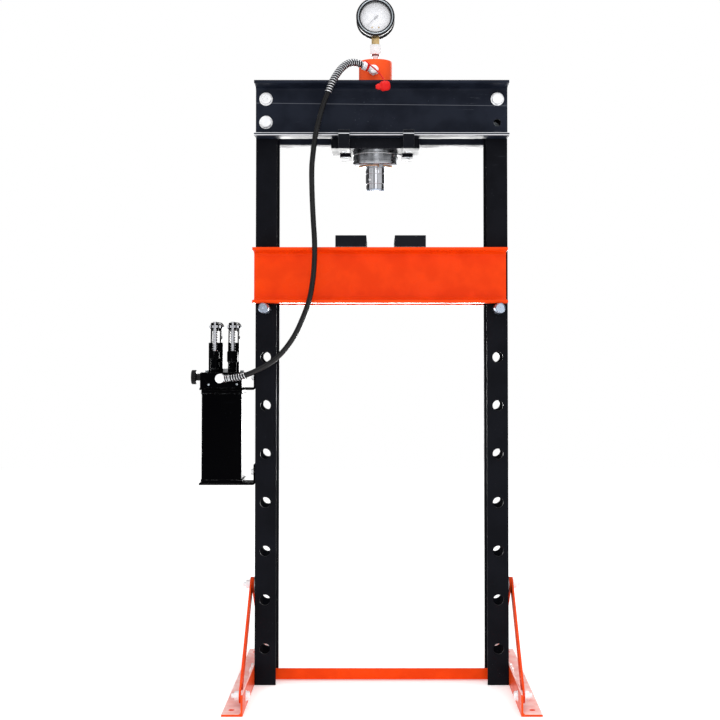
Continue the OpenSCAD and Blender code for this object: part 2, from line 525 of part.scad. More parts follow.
// rocker: two side plates, pivot pin, handle socket pointing back
module rocker(x) { color(black) { difference() {
    union() {
        for (s = [-1, 1]) translate([x + (s > 0 ? 7.2 : -9.9), 0, 0]) rotate([90, 0, 90])
            linear_extrude(2.7) polygon([[plg_y - 8, piv_z - 7], [plg_y - 8, piv_z + 6],
                [plg_y - 5, piv_z + 10],
                [piv_y + 6, piv_z + 12], [piv_y + 40, piv_z + 12], [piv_y + 40, piv_z - 10],
                [piv_y - 2, piv_z - 12], [plg_y - 3, piv_z - 10]]);
        alongy(x, piv_z + 1, piv_y + 16, piv_y + 70, 24);
    }
    alongy(x, piv_z + 1, piv_y + 22, piv_y + 71, 18);
    for (s = [-1, 1]) hull() for (y = [-2, 2]) alongx(plg_y + y, piv_z, x + s*8 - 3, x + s*8 + 3, 7.8);
}
    alongx(piv_y, piv_z, x - 16, x + 16, 8);
} }
module rocker_left() { rocker(unit_x[0]); }
module rocker_right() { rocker(unit_x[1]); }
// plunger with its cross pin
module plunger(x) { color(steel) {
    translate([x, plg_y, gl_z - 34]) cylinder(h = piv_z + 13 - gl_z + 34, d = 9);
    translate([x, plg_y, piv_z - 6]) cylinder(h = 4, d = 12);
    alongx(plg_y, piv_z, x - 14.5, x + 14.5, 7);
} }
module plunger_left() { plunger(unit_x[0]); }
module plunger_right() { plunger(unit_x[1]); }
module pspring(x) { color(steel) sweep(coil(x, plg_y, gl_z + 1.3, piv_z - 7.3, 5.8, 11, 12), 1.0, 5); }
module pump_spring_left() { pspring(unit_x[0]); }
module pump_spring_right() { pspring(unit_x[1]); }

upright_left();
upright_right();
head_front();
head_rear();
head_bolts();
head_nuts();
foot_left();
foot_right();
brace_front_left();
brace_rear_left();
brace_front_right();
brace_rear_right();
foot_bolts();
brace_bolts();
tie_bar();
bed_front();
bed_rear();
bed_spacers();
bed_pin_left();
bed_pin_right();
block_left();
block_right();
carriage_plate();
carriage_clamps();
clamp_screws();
cylinder_body();
cylinder_collar();
snap_ring();
ram_rod();
ram_nose();
ram_piston();
return_spring();
gauge_adapter();
gauge_socket();
gauge_case();
gauge_dial();
gauge_glass();
gauge_pointer();
port_coupler();
dust_cap();
hose();
hose_guard_top();
hose_guard_bottom();
pump_elbow();
pump_reservoir();
pump_manifold();
pump_brackets();
pump_bolts();
release_knob();
filler_plug();
pump_barrel_left();
pump_barrel_right();
fulcrum_left();
fulcrum_right();
rocker_left();
rocker_right();
plunger_left();
plunger_right();
pump_spring_left();
pump_spring_right();
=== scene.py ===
"""Finished look of a hydraulic shop press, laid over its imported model."""

import json
import logging
import math
from dataclasses import dataclass, field
from enum import Enum
from typing import Sequence

import bmesh
import bpy
import numpy as np
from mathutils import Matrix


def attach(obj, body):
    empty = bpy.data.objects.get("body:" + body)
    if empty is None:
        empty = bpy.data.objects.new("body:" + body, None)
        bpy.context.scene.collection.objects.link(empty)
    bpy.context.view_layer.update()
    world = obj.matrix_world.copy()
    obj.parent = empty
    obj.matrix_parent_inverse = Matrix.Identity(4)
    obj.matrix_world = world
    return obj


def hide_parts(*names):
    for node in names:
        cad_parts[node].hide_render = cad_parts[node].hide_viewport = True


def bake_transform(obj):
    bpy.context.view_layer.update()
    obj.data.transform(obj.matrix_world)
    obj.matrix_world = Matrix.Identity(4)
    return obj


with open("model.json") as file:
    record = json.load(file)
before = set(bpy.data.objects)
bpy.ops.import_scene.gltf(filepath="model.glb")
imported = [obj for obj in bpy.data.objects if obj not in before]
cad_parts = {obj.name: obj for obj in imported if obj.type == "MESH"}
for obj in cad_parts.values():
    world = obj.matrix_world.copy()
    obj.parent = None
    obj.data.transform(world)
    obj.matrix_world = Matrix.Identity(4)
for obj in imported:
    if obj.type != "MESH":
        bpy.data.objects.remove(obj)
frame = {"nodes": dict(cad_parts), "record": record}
LOG = logging.getLogger("shop_press")
MM = 0.001
# Slope of the painted reflection line across the head channel's web.
REFLECTION_LINE_SLOPE = 0.011
# Colour of the painted highlight lines where light catches the rounded toes of a channel.
PAINTED_TOE_HIGHLIGHT = (0.62, 0.63, 0.66)
BACKDROP, LOW_GLARE = 1.0, 13.0
UP, ACROSS, BACK = (0.0, 0.0, 1.0), (1.0, 0.0, 0.0), (0.0, 1.0, 0.0)


class Side(Enum):
    """Which side of the press a mirrored piece is on."""

    LEFT = -1
    RIGHT = 1


class Ledger:
    """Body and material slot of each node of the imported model."""

    def __init__(self, record: dict) -> None:
        """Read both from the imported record."""
        self.body = {n: b for b, names in record["behaviour"]["bodies"].items() for n in names}
        self.slot = {p["node"]: p["material_slot"] for p in record["subparts"]}


LEDGER = Ledger(frame["record"])


# ---------------------------------------------------------------- shape helpers
def unit(v: np.ndarray) -> np.ndarray:
    """Return the vectors of the last axis at length one."""
    return v / np.linalg.norm(v, axis=-1, keepdims=True)


def vec(*values: float) -> np.ndarray:
    """Return the numbers as one vector."""
    return np.array(values, dtype=float)


def rounded(corners: Sequence[Sequence[float]], steps: int = 5) -> np.ndarray:
    """Outline whose corners are circular fillets.

    Each fillet is the rational quadratic arc from one tangent point to the next
    with the corner as its middle control point and the half angle's sine as weight.

    Args:
        corners: x, y and fillet radius of each corner, in order.
        steps: segments in each fillet.

    Returns:
        The outline's points, without repeats.
    """
    data = np.array(corners, dtype=float)
    p, r = data[:, :2], data[:, 2]
    before, after = np.roll(p, 1, 0) - p, np.roll(p, -1, 0) - p
    room = 0.49 * np.minimum(np.linalg.norm(before, axis=1), np.linalg.norm(after, axis=1))
    ua, ub = unit(before), unit(after)
    half = np.arccos(np.clip((ua * ub).sum(1), -0.9999, 0.9999)) / 2
    cut = np.minimum(r / np.tan(half), room)[:, None, None]
    t = np.linspace(0, 1, steps + 1)[None, :, None]
    w = np.sin(half)[:, None, None]
    a, b, c = p[:, None] + ua[:, None] * cut, p[:, None], p[:, None] + ub[:, None] * cut
    total = (1 - t) ** 2 + 2 * w * t * (1 - t) + t**2
    arc = ((1 - t) ** 2 * a + 2 * w * t * (1 - t) * b + t**2 * c) / total
    out = arc.reshape(-1, 2)
    return out[np.linalg.norm(np.roll(out, 1, 0) - out, axis=1) > 1e-6]


def smooth_route(stations: np.ndarray, steps: int) -> np.ndarray:
    """Catmull-Rom curve through the stations, with steps spans between two of them."""
    p = np.vstack([stations[:1], stations, stations[-1:]])
    a, b, c, d = p[:-3, None], p[1:-2, None], p[2:-1, None], p[3:, None]
    t = (np.arange(steps) / steps)[None, :, None]
    line = 0.5 * (2 * b + (c - a) * t + (2 * a - 5 * b + 4 * c - d) * t**2
                  + (3 * b - a - 3 * c + d) * t**3)
    return np.vstack([line.reshape(-1, 3), stations[-1:]])


def helix(centre: Sequence[float], z0: float, z1: float, radius: float, turns: float,
          per: int = 20) -> np.ndarray:
    """Coil line about a vertical axis, its end turns wound flat as on a ground spring.

    Args:
        centre: x and y of the axis.
        z0: lowest level of the line.
        z1: highest level of the line.
        radius: radius of the line.
        turns: number of turns.
        per: points in a turn.

    Returns:
        The line's points.
    """
    t = np.linspace(0, 1, int(turns * per) + 1)
    rise = np.clip((t * turns - 0.8) / (turns - 1.6), 0, 1)
    a = 2 * math.pi * turns * t
    return np.stack([centre[0] + radius * np.cos(a), centre[1] + radius * np.sin(a),
                     z0 + (z1 - z0) * rise], -1)


@dataclass
class Form:
    """Closed shells gathered into one mesh, in millimetres until it is made."""

    points: list[np.ndarray] = field(default_factory=list)
    faces: list[list[int]] = field(default_factory=list)
    count: int = 0

    def grid(self, pts: np.ndarray, wrap: bool = True, caps: bool = True) -> "Form":
        """Add a surface given as a grid of points.

        Args:
            pts: rings by points by three.
            wrap: whether each ring closes on itself.
            caps: whether the first and the last ring are filled.

        Returns:
            This form.
        """
        rings, n = pts.shape[:2]
        idx = np.arange(rings * n).reshape(rings, n) + self.count
        band = np.hstack([idx, idx[:, :1]]) if wrap else idx
        quads = np.stack([band[:-1, :-1], band[:-1, 1:], band[1:, 1:], band[1:, :-1]], -1).reshape(-1, 4)
        self.faces += quads.tolist()
        if caps:
            self.faces += [idx[0, ::-1].tolist(), idx[-1].tolist()]
        self.points.append(pts.reshape(-1, 3))
        self.count += rings * n
        return self

    def extruded(self, outline: np.ndarray, origin: Sequence[float], ax: Sequence[float],
                 ay: Sequence[float], along: Sequence[float]) -> "Form":
        """Carry a plane outline along a straight vector.

        Args:
            outline: points of the outline.
            origin: place of the outline's zero.
            ax: direction of the outline's first coordinate.
            ay: direction of its second coordinate.
            along: the vector from the first end to the last.

        Returns:
            This form.
        """
        ring = vec(*origin) + outline[:, :1] * vec(*ax) + outline[:, 1:2] * vec(*ay)
        return self.grid(np.stack([ring, ring + vec(*along)]))

    def turned(self, profile: Sequence[Sequence[float]], origin: Sequence[float],
               axis: Sequence[float] = UP, sides: int = 48, flats: float = 0.0,
               lobes: int = 0, depth: float = 0.0) -> "Form":
        """Turn a profile of radius and height about an axis.

        The radius at angle a is the profile's, or the hexagon's where that is
        smaller, less depth times a raised cosine of lobes times a.

        Args:
            profile: radius and height of each ring.
            origin: place of height zero.
            axis: direction of the axis.
            sides: points in a ring.
            flats: width across the flats of a hexagon that limits it, or 0.
            lobes: number of grooves along the axis.
            depth: depth of the grooves.

        Returns:
            This form.
        """
        w = unit(vec(*axis))
        u = unit(np.cross(w, vec(0.13, 0.31, 0.94) if abs(w[2]) < 0.7 else vec(0.05, 1, 0)))
        v = np.cross(w, u)
        a = np.linspace(0, 2 * math.pi, sides, endpoint=False)
        r = np.repeat(np.array([q[0] for q in profile], float)[:, None], sides, 1)
        if flats:
            r = np.minimum(r, flats / 2 / np.cos((a + math.pi / 6) % (math.pi / 3) - math.pi / 6))
        if lobes:
            r = r - depth * (r > 0.5 * r.max()) * (0.5 + 0.5 * np.cos(lobes * a)) ** 3
        h = np.array([q[1] for q in profile], float)[:, None, None]
        ring = r[..., None] * (np.cos(a)[:, None] * u + np.sin(a)[:, None] * v)
        return self.grid(vec(*origin) + ring + h * w)

    def tube(self, path: np.ndarray, radius: float | np.ndarray, sides: int = 12,
             ref: Sequence[float] | np.ndarray = BACK, flat: float = 1.0) -> "Form":
        """Carry a circle along a path.

        Args:
            path: the path's points.
            radius: one radius, or one at each point.
            sides: points in a ring.
            ref: a direction that is never along the path, or one at each point.
            flat: height of the ring over its width.

        Returns:
            This form.
        """
        t = unit(np.gradient(path, axis=0))
        u = unit(np.cross(t, np.broadcast_to(ref, path.shape)))
        v = np.cross(t, u)
        a = np.linspace(0, 2 * math.pi, sides, endpoint=False)[None, :, None]
        r = np.broadcast_to(radius, (len(path),))[:, None, None]
        return self.grid(path[:, None] + r * (np.cos(a) * u[:, None] + flat * np.sin(a) * v[:, None]))

    def weld(self, a: Sequence[float], b: Sequence[float], radius: float,
             ref: Sequence[float] = UP) -> "Form":
        """Straight weld bead: a tube whose radius ripples and fades at both ends.

        Args:
            a: first end.
            b: last end.
            radius: mean radius.
            ref: a direction across the bead.

        Returns:
            This form.
        """
        length = float(np.linalg.norm(vec(*b) - vec(*a)))
        n = max(int(length / (0.22 * radius)), 12)
        t = np.linspace(0, 1, n)
        phase = t * length / (0.85 * radius)
        r = radius * (0.9 + 0.13 * np.abs(np.sin(math.pi * phase)) + 0.05 * np.sin(1.7 * phase))
        r = r * np.sqrt(np.clip(np.minimum(t, 1 - t) * length / radius, 0.02, 1))
        return self.tube(vec(*a) + t[:, None] * (vec(*b) - vec(*a)), r, 10, ref)

    def bolt(self, at: Sequence[float], axis: Sequence[float], flats: float, height: float, shank: float,
             washer: float = 0.0, thick: float = 0.0) -> "Form":
        """Hexagon head with a washer, seated at a point and standing along an axis.

        Args:
            at: middle of the seat.
            axis: direction in which the head stands.
            flats: width across its flats.
            height: height of the head alone.
            shank: length of thread that shows past it, for a nut, or 0.
            washer: outside diameter of the washer, or 0.
            thick: thickness of the washer.

        Returns:
            This form.
        """
        f, t = flats / 2, thick
        if washer:
            w = washer / 2
            self.turned([(f * 0.5, 0.02), (w - 0.5, 0.02), (w, 0.4), (w, t - 0.5), (w - 0.5, t),
                         (f * 0.5, t)], at, axis, 48)
        self.turned([(f * 0.4, t + 0.05), (f * 0.97, t + 0.05), (f * 1.02, t + 0.5), (f * 1.16, t + 0.9),
                     (f * 1.16, t + height - f * 0.2), (f * 1.0, t + height - 0.25),
                     (f * 0.93, t + height), (f * 0.6, t + height), (f * 0.56, t + height - 0.35),
                     (0.01, t + height - 0.35)], at, axis, 72, flats=flats)
        if shank:
            crest, pitch = f * 0.62, 1.6
            steps = np.arange(0, shank, pitch / 2)
            rows = [(crest - 0.55 * (i % 2), t + height + s) for i, s in enumerate(steps)]
            rows += [(crest - 1.3, t + height + shank), (0.01, t + height + shank)]
            self.turned(rows, at, axis, 36)
        return self

    def mesh(self, name: str, sharp: float = 32.0) -> bpy.types.Mesh:
        """Make the Blender mesh in metres, joined, facing outwards and smooth but for its edges.

        Args:
            name: name of the mesh.
            sharp: angle in degrees from which an edge stays sharp.

        Returns:
            The mesh.
        """
        mesh = bpy.data.meshes.new(name)
        mesh.from_pydata((np.vstack(self.points) * MM).tolist(), [], self.faces)
        bm = bmesh.new()
        bm.from_mesh(mesh)
        bmesh.ops.remove_doubles(bm, verts=bm.verts, dist=2e-6)
        bmesh.ops.recalc_face_normals(bm, faces=bm.faces)
        bm.to_mesh(mesh)
        bm.free()
        mesh.shade_smooth()
        mesh.set_sharp_from_angle(angle=math.radians(sharp))
        return mesh

    def piece(self, name: str, node: str, finish: "Finish", whole: bool = True, sharp: float = 32.0,
              bevel: float = 0.0) -> bpy.types.Object:
        """Make the mesh and put it in the scene on a node's body.

        Args:
            name: name of the piece and its mesh.
            node: node whose body it rides on.
            finish: its finish.
            whole: whether it stands for that node, or is an extra beside its stand-in.
            sharp: angle in degrees from which an edge stays sharp.
            bevel: width of the rounding of its edges in millimetres.

        Returns:
            The piece.
        """
        return placed(name, self.mesh(name, sharp), node, finish, (node,) if whole else (), bevel)


def placed(name: str, mesh: bpy.types.Mesh, like: str, finish: "Finish", stands_for: Sequence[str] = (),
           bevel: float = 0.0) -> bpy.types.Object:
    """Put a mesh in the scene as a piece that rides with a node's body.

    Args:
        name: name of the piece.
        mesh: its mesh, at its place.
        like: node whose body it rides on.
        finish: its finish.
        stands_for: nodes that it replaces.
        bevel: width of the rounding of its edges in millimetres.

    Returns:
        The piece.
    """
    obj = bpy.data.objects.new(name, mesh)
    bpy.context.scene.collection.objects.link(obj)
    mesh.materials.clear()
    mesh.materials.append(finish.material())
    if bevel:
        rounding = obj.modifiers.new("rounding", "BEVEL")
        rounding.width, rounding.segments, rounding.limit_method = bevel * MM, 2, "ANGLE"
        rounding.angle_limit, rounding.use_clamp_overlap = math.radians(38), False
        rounding.harden_normals = True
    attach(obj, LEDGER.body[like])
    if stands_for:
        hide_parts(*stands_for)
    LOG.info("made %s", name)
    return obj


def softened(node: str, finish: "Finish", bevel: float = 0.5) -> bpy.types.Object:
    """Stand a merged copy with rounded edges in for a node whose shape is right.

    Args:
        node: the node.
        finish: finish of the copy.
        bevel: width of the rounding in millimetres.

    Returns:
        The piece.
    """
    mesh = frame["nodes"][node].data.copy()
    bm = bmesh.new()
    bm.from_mesh(mesh)
    bmesh.ops.remove_doubles(bm, verts=bm.verts, dist=3e-6)
    bmesh.ops.dissolve_limit(bm, angle_limit=math.radians(0.6), verts=bm.verts, edges=bm.edges)
    bm.to_mesh(mesh)
    bm.free()
    mesh.shade_smooth()
    mesh.set_sharp_from_angle(angle=math.radians(32))
    return placed(node + "_piece", mesh, node, finish, (node,), bevel)


def drilled(solid: Form, cutters: Form, name: str) -> bpy.types.Mesh:
    """Cut one form out of another and return the mesh that is left.

    Args:
        solid: the form that is cut.
        cutters: closed shells of the holes.
        name: name of the mesh.

    Returns:
        The cut mesh.
    """
    objs = [bpy.data.objects.new(name + part, form.mesh(name + part))
            for part, form in (("_a", solid), ("_b", cutters))]
    for obj in objs:
        bpy.context.scene.collection.objects.link(obj)
    cut = objs[0].modifiers.new("cut", "BOOLEAN")
    cut.operation, cut.solver, cut.object = "DIFFERENCE", "EXACT", objs[1]
    bpy.context.view_layer.update()
    out = bpy.data.meshes.new_from_object(objs[0].evaluated_get(bpy.context.evaluated_depsgraph_get()))
    for obj in objs:
        bpy.data.objects.remove(obj)
    out.name = name
    out.shade_smooth()
    out.set_sharp_from_angle(angle=math.radians(32))
    return out


# ---------------------------------------------------------------- shader graph
class Graph:
    """Short way to write a node tree."""

    def __init__(self, tree: bpy.types.NodeTree) -> None:
        """Keep the tree."""
        self.tree = tree

    def node(self, kind: str, values: dict | None = None, **props: object) -> bpy.types.Node:
        """Add a node.

        Args:
            kind: its type without the ShaderNode prefix.
            values: socket name or number to a value or to a socket that feeds it.
            props: properties of the node.

        Returns:
            The node.
        """
        made = self.tree.nodes.new("ShaderNode" + kind)
        for key, value in props.items():
            setattr(made, key, value)
        for key, value in (values or {}).items():
            if isinstance(value, bpy.types.NodeSocket):
                self.tree.links.new(value, made.inputs[key])
            else:
                made.inputs[key].default_value = value
        return made

    def math(self, operation: str, *values: object) -> bpy.types.NodeSocket:
        """Return the output of a Math node."""
        return self.node("Math", dict(enumerate(values)), operation=operation).outputs[0]

    def ramp(self, value: object, low: float, high: float, to_low: float = 0.0,
             to_high: float = 1.0) -> bpy.types.NodeSocket:
        """Return a value mapped smoothly from low..high to to_low..to_high."""
        values = {0: value, 1: low, 2: high, 3: to_low, 4: to_high}
        return self.node("MapRange", values, interpolation_type="SMOOTHSTEP").outputs[0]

    def mix(self, factor: object, a: object, b: object) -> bpy.types.NodeSocket:
        """Return the mix of two colours."""
        return self.node("Mix", {0: factor, 6: a, 7: b}, data_type="RGBA").outputs[2]

    def noise(self, vector: object, scale: object, detail: float = 3.0,
              rough: float = 0.55) -> bpy.types.NodeSocket:
        """Return the value of a noise texture."""
        return self.node("TexNoise", {"Vector": vector, "Scale": scale, "Detail": detail,
                                      "Roughness": rough}).outputs[0]

    def place(self, scale: Sequence[float] = (1, 1, 1),
              shift: Sequence[float] = (0, 0, 0)) -> bpy.types.NodeSocket:
        """Return object coordinates, scaled and shifted."""
        where = self.node("TexCoord").outputs["Object"]
        return self.node("Mapping", {"Vector": where, "Location": shift, "Scale": scale}).outputs[0]


class Effect(Enum):
    """Shared surface effects, each one node group."""

    EDGE_WEAR = "edge wear"
    GRAIN = "fine grain"
    SCUFFS = "scuffs"
    DUST = "settled dust"


EFFECT_SOCKETS = {
    Effect.EDGE_WEAR: ([("Radius", 0.0012), ("Amount", 0.5)], ["Mask"]),
    Effect.GRAIN: ([("Scale", 400.0), ("Across", 1.0), ("Upward", 1.0)], ["Height", "Tone"]),
    Effect.SCUFFS: ([("Scale", 12.0), ("Amount", 0.3)], ["Mask"]),
    Effect.DUST: ([("Amount", 0.3)], ["Mask"]),
}


def effect_group(effect: Effect) -> bpy.types.NodeTree:
    """Return an effect's node group, built the first time it is asked for.

    Edge wear is where the normal of a rounded edge leaves the true normal, broken
    by noise; set high, it also paints highlights along edges. Grain is noise at three scales.
    Scuffs are thin level streaks and specks. Dust is the upward part of the normal times a
    slow noise; set high on the feet, it paints the light on their upward faces, with some dust.

    Args:
        effect: which effect.

    Returns:
        The node group.
    """
    if effect.value in bpy.data.node_groups:
        return bpy.data.node_groups[effect.value]
    tree = bpy.data.node_groups.new(effect.value, "ShaderNodeTree")
    inputs, outputs = EFFECT_SOCKETS[effect]
    for name, value in inputs:
        tree.interface.new_socket(name, in_out="INPUT",
                                  socket_type="NodeSocketFloat").default_value = value
    for name in outputs:
        tree.interface.new_socket(name, in_out="OUTPUT", socket_type="NodeSocketFloat")
    g = Graph(tree)
    given = tree.nodes.new("NodeGroupInput").outputs
    result = tree.nodes.new("NodeGroupOutput").inputs
    if effect is Effect.EDGE_WEAR:
        soft = g.node("Bevel", {"Radius": given["Radius"]}, samples=6).outputs[0]
        true = g.node("NewGeometry").outputs["Normal"]
        away = g.math("SUBTRACT", 1.0, g.node("VectorMath", {0: soft, 1: true},
                                              operation="DOT_PRODUCT").outputs["Value"])
        broken = g.noise(g.place(), 90.0, 5.0, 0.7)
        gate = g.ramp(g.math("ADD", broken, g.math("MULTIPLY", given["Amount"], 0.3)), 0.52, 0.68)
        tree.links.new(g.math("MULTIPLY", g.ramp(away, 0.02, 0.12),
                              g.math("MULTIPLY", gate, given["Amount"])), result["Mask"])
    elif effect is Effect.GRAIN:
        where = g.place()
        axes = g.node("CombineXYZ", {0: given["Across"], 1: given["Across"],
                                     2: given["Upward"]}).outputs[0]
        at = g.node("VectorMath", {0: where, 1: axes}, operation="MULTIPLY").outputs[0]
        fine = g.noise(at, given["Scale"], 4.0, 0.6)
        broad = g.noise(at, g.math("MULTIPLY", given["Scale"], 0.06), 3.0, 0.5)
        tree.links.new(g.math("ADD", fine, g.math("MULTIPLY", broad, 0.6)), result["Height"])
        tree.links.new(broad, result["Tone"])
    elif effect is Effect.SCUFFS:
        size = given["Scale"]
        streak = g.ramp(g.noise(g.place((1.0, 1.0, 26.0)), size, 6.0, 0.75), 0.63, 0.72)
        patch = g.ramp(g.noise(g.place(shift=(3.1, 0.7, 1.9)), g.math("MULTIPLY", size, 0.35), 3.0),
                       0.46, 0.66)
        cells = g.node("TexVoronoi",
                       {"Vector": g.place(), "Scale": g.math("MULTIPLY", size, 14.0)}).outputs["Distance"]
        speck = g.math("MULTIPLY", g.ramp(cells, 0.16, 0.05),
                       g.ramp(g.noise(g.place(), size, 4.0, 0.7), 0.55, 0.68))
        both = g.math("MAXIMUM", g.math("MULTIPLY", streak, patch), speck)
        tree.links.new(g.math("MULTIPLY", both, given["Amount"]), result["Mask"])
    else:
        normal = g.node("NewGeometry").outputs["Normal"]
        upward = g.ramp(g.node("SeparateXYZ", {0: normal}).outputs[2], 0.55, 0.98)
        cloud = g.ramp(g.noise(g.place(), 26.0, 6.0, 0.65), 0.25, 0.75, 0.55, 1.0)
        tree.links.new(g.math("MULTIPLY", g.math("MULTIPLY", upward, cloud), given["Amount"]),
                       result["Mask"])
    return tree


@dataclass(frozen=True)
class Finish:
    """Base of the finishes: one material, made once under the finish's name."""

    name: str

    def material(self) -> bpy.types.Material:
        """Return the finish's material, built the first time it is asked for."""
        label = self.name + "_finish"
        found = bpy.data.materials.get(label)
        if found:
            return found
        made = bpy.data.materials.new(label)
        made.use_nodes = True
        made.node_tree.nodes.clear()
        g = Graph(made.node_tree)
        skin = g.node("BsdfPrincipled")
        g.node("OutputMaterial", {"Surface": skin.outputs[0]})
        self.dress(g, skin)
        return made

    def dress(self, g: Graph, skin: bpy.types.Node) -> None:
        """Set up the shader of this finish."""
        raise NotImplementedError

    @staticmethod
    def effect(g: Graph, effect: Effect, **values: float) -> bpy.types.NodeOutputs:
        """Place an effect with its own values and return its outputs."""
        made = g.tree.nodes.new("ShaderNodeGroup")
        made.node_tree = effect_group(effect)
        for key, value in values.items():
            made.inputs[key].default_value = value
        return made.outputs

    @staticmethod
    def set(skin: bpy.types.Node, **values: float) -> None:
        """Set constant values on the shader's own sockets, with spaces written as underscores."""
        for key, value in values.items():
            skin.inputs[key.replace("_", " ")].default_value = value


@dataclass(frozen=True)
class Enamel(Finish):
    """Sprayed enamel on steel, worn to metal at its edges, scuffed and a little dusty; set high, the wear
    on its edges also paints edge highlights and the dust paints light on upward faces.

    A painted reflection line runs across the paint at the level in line, slightly sloped, and
    painted highlight lines, where light catches the rounded toes, run along the outer toes of a channel
    at the levels in rims.
    """

    colour: tuple[float, float, float]
    shade: tuple[float, float, float]
    rough: float = 0.36
    specular: float = 0.3
    wear: float = 0.35
    worn_to: tuple[float, float, float] = (0.35, 0.36, 0.38)
    scuff: float = 0.25
    scuffed_to: tuple[float, float, float] = (0.20, 0.22, 0.27)
    dust: float = 0.1
    dusted_to: tuple[float, float, float] = (0.45, 0.44, 0.42)
    peel: float = 0.12
    # Level of a painted reflection line across the paint, or 0 for none.
    line: float = 0.0
    # Levels of painted highlight lines along the outer toes of a channel.
    rims: tuple[float, ...] = ()

    def dress(self, g: Graph, skin: bpy.types.Node) -> None:
        """Layer tone, dust and painted top light, scuffs, bare edges and painted edge highlights, the
        painted reflection line and the painted toe highlights over the paint.
        """
        grain = self.effect(g, Effect.GRAIN, Scale=260.0)
        worn = self.effect(g, Effect.EDGE_WEAR, Radius=0.0013, Amount=self.wear)["Mask"]
        scuffs = self.effect(g, Effect.SCUFFS, Scale=11.0, Amount=self.scuff)["Mask"]
        dust = self.effect(g, Effect.DUST, Amount=self.dust)["Mask"]
        tone = g.mix(g.ramp(grain["Tone"], 0.35, 0.65), (*self.colour, 1), (*self.shade, 1))
        # Upward faces lightened: dust, and on the feet, where the amount is near full, painted light on
        # the top faces.
        tone = g.mix(dust, tone, (*self.dusted_to, 1))
        tone = g.mix(scuffs, tone, (*self.scuffed_to, 1))
        spot = g.node("SeparateXYZ", {0: g.place()}).outputs
        # Painted reflection line: a thin lighter line at the level in line, sloped across x.
        if self.line:
            level = g.math("SUBTRACT", self.line, g.math("MULTIPLY", spot[0], REFLECTION_LINE_SLOPE))
            off = g.math("ABSOLUTE", g.math("SUBTRACT", spot[2], level))
            tone = g.mix(g.ramp(off, 0.0004, 0.0011, 0.55, 0.0), tone, (*self.scuffed_to, 1))
        # Painted highlight lines along the outer toes of a channel, at the levels in rims.
        outer = g.ramp(g.math("ABSOLUTE", spot[1]), 0.098, 0.104)
        for rim in self.rims:
            off = g.math("ABSOLUTE", g.math("SUBTRACT", spot[2], rim))
            mask = g.math("MULTIPLY", g.ramp(off, 0.0007, 0.0014, 1.0, 0.0), outer)
            tone = g.mix(mask, tone, (*PAINTED_TOE_HIGHLIGHT, 1))
        # Lighter, metallic edges: real wear, and where the wear amount is set high, painted edge
        # highlights.
        g.tree.links.new(g.mix(worn, tone, (*self.worn_to, 1)), skin.inputs["Base Color"])
        rough = g.math("ADD", g.ramp(grain["Tone"], 0.3, 0.7, self.rough - 0.05, self.rough + 0.06),
                       g.math("MULTIPLY", scuffs, 0.25))
        g.tree.links.new(rough, skin.inputs["Roughness"])
        g.tree.links.new(g.math("MULTIPLY", worn, 0.7), skin.inputs["Metallic"])
        bump = g.node("Bump", {"Strength": self.peel, "Distance": 0.0006, "Height": grain["Height"]})
        g.tree.links.new(bump.outputs[0], skin.inputs["Normal"])
        self.set(skin, Specular_IOR_Level=self.specular)


@dataclass(frozen=True)
class Steel(Finish):
    """Bare or plated metal with tool marks, stains and a fine grain."""

    colour: tuple[float, float, float]
    stain: tuple[float, float, float]
    rough: float = 0.22
    across: float = 1.0
    upward: float = 1.0
    scale: float = 500.0
    marks: float = 0.12
    dark: float = 0.35
    metal: float = 1.0

    def dress(self, g: Graph, skin: bpy.types.Node) -> None:
        """Mix the clean and the stained metal, with the tool marks in gloss and bump."""
        grain = self.effect(g, Effect.GRAIN, Scale=self.scale, Across=self.across, Upward=self.upward)
        blotch = g.noise(g.place(), 45.0, 6.0, 0.65)
        mask = g.math("MULTIPLY", g.ramp(blotch, 0.42, 0.72), self.dark)
        scuffs = self.effect(g, Effect.SCUFFS, Scale=30.0, Amount=0.25)["Mask"]
        tone = g.mix(mask, (*self.colour, 1), (*self.stain, 1))
        g.tree.links.new(g.mix(scuffs, tone, (*[c * 0.55 for c in self.colour], 1)),
                         skin.inputs["Base Color"])
        rough = g.math("ADD", g.ramp(grain["Height"], 0.4, 1.2, self.rough * 0.7, self.rough * 1.35),
                       g.math("MULTIPLY", mask, 0.2))
        g.tree.links.new(rough, skin.inputs["Roughness"])
        bump = g.node("Bump", {"Strength": self.marks, "Distance": 0.0003, "Height": grain["Height"]})
        g.tree.links.new(bump.outputs[0], skin.inputs["Normal"])
        self.set(skin, Metallic=self.metal)


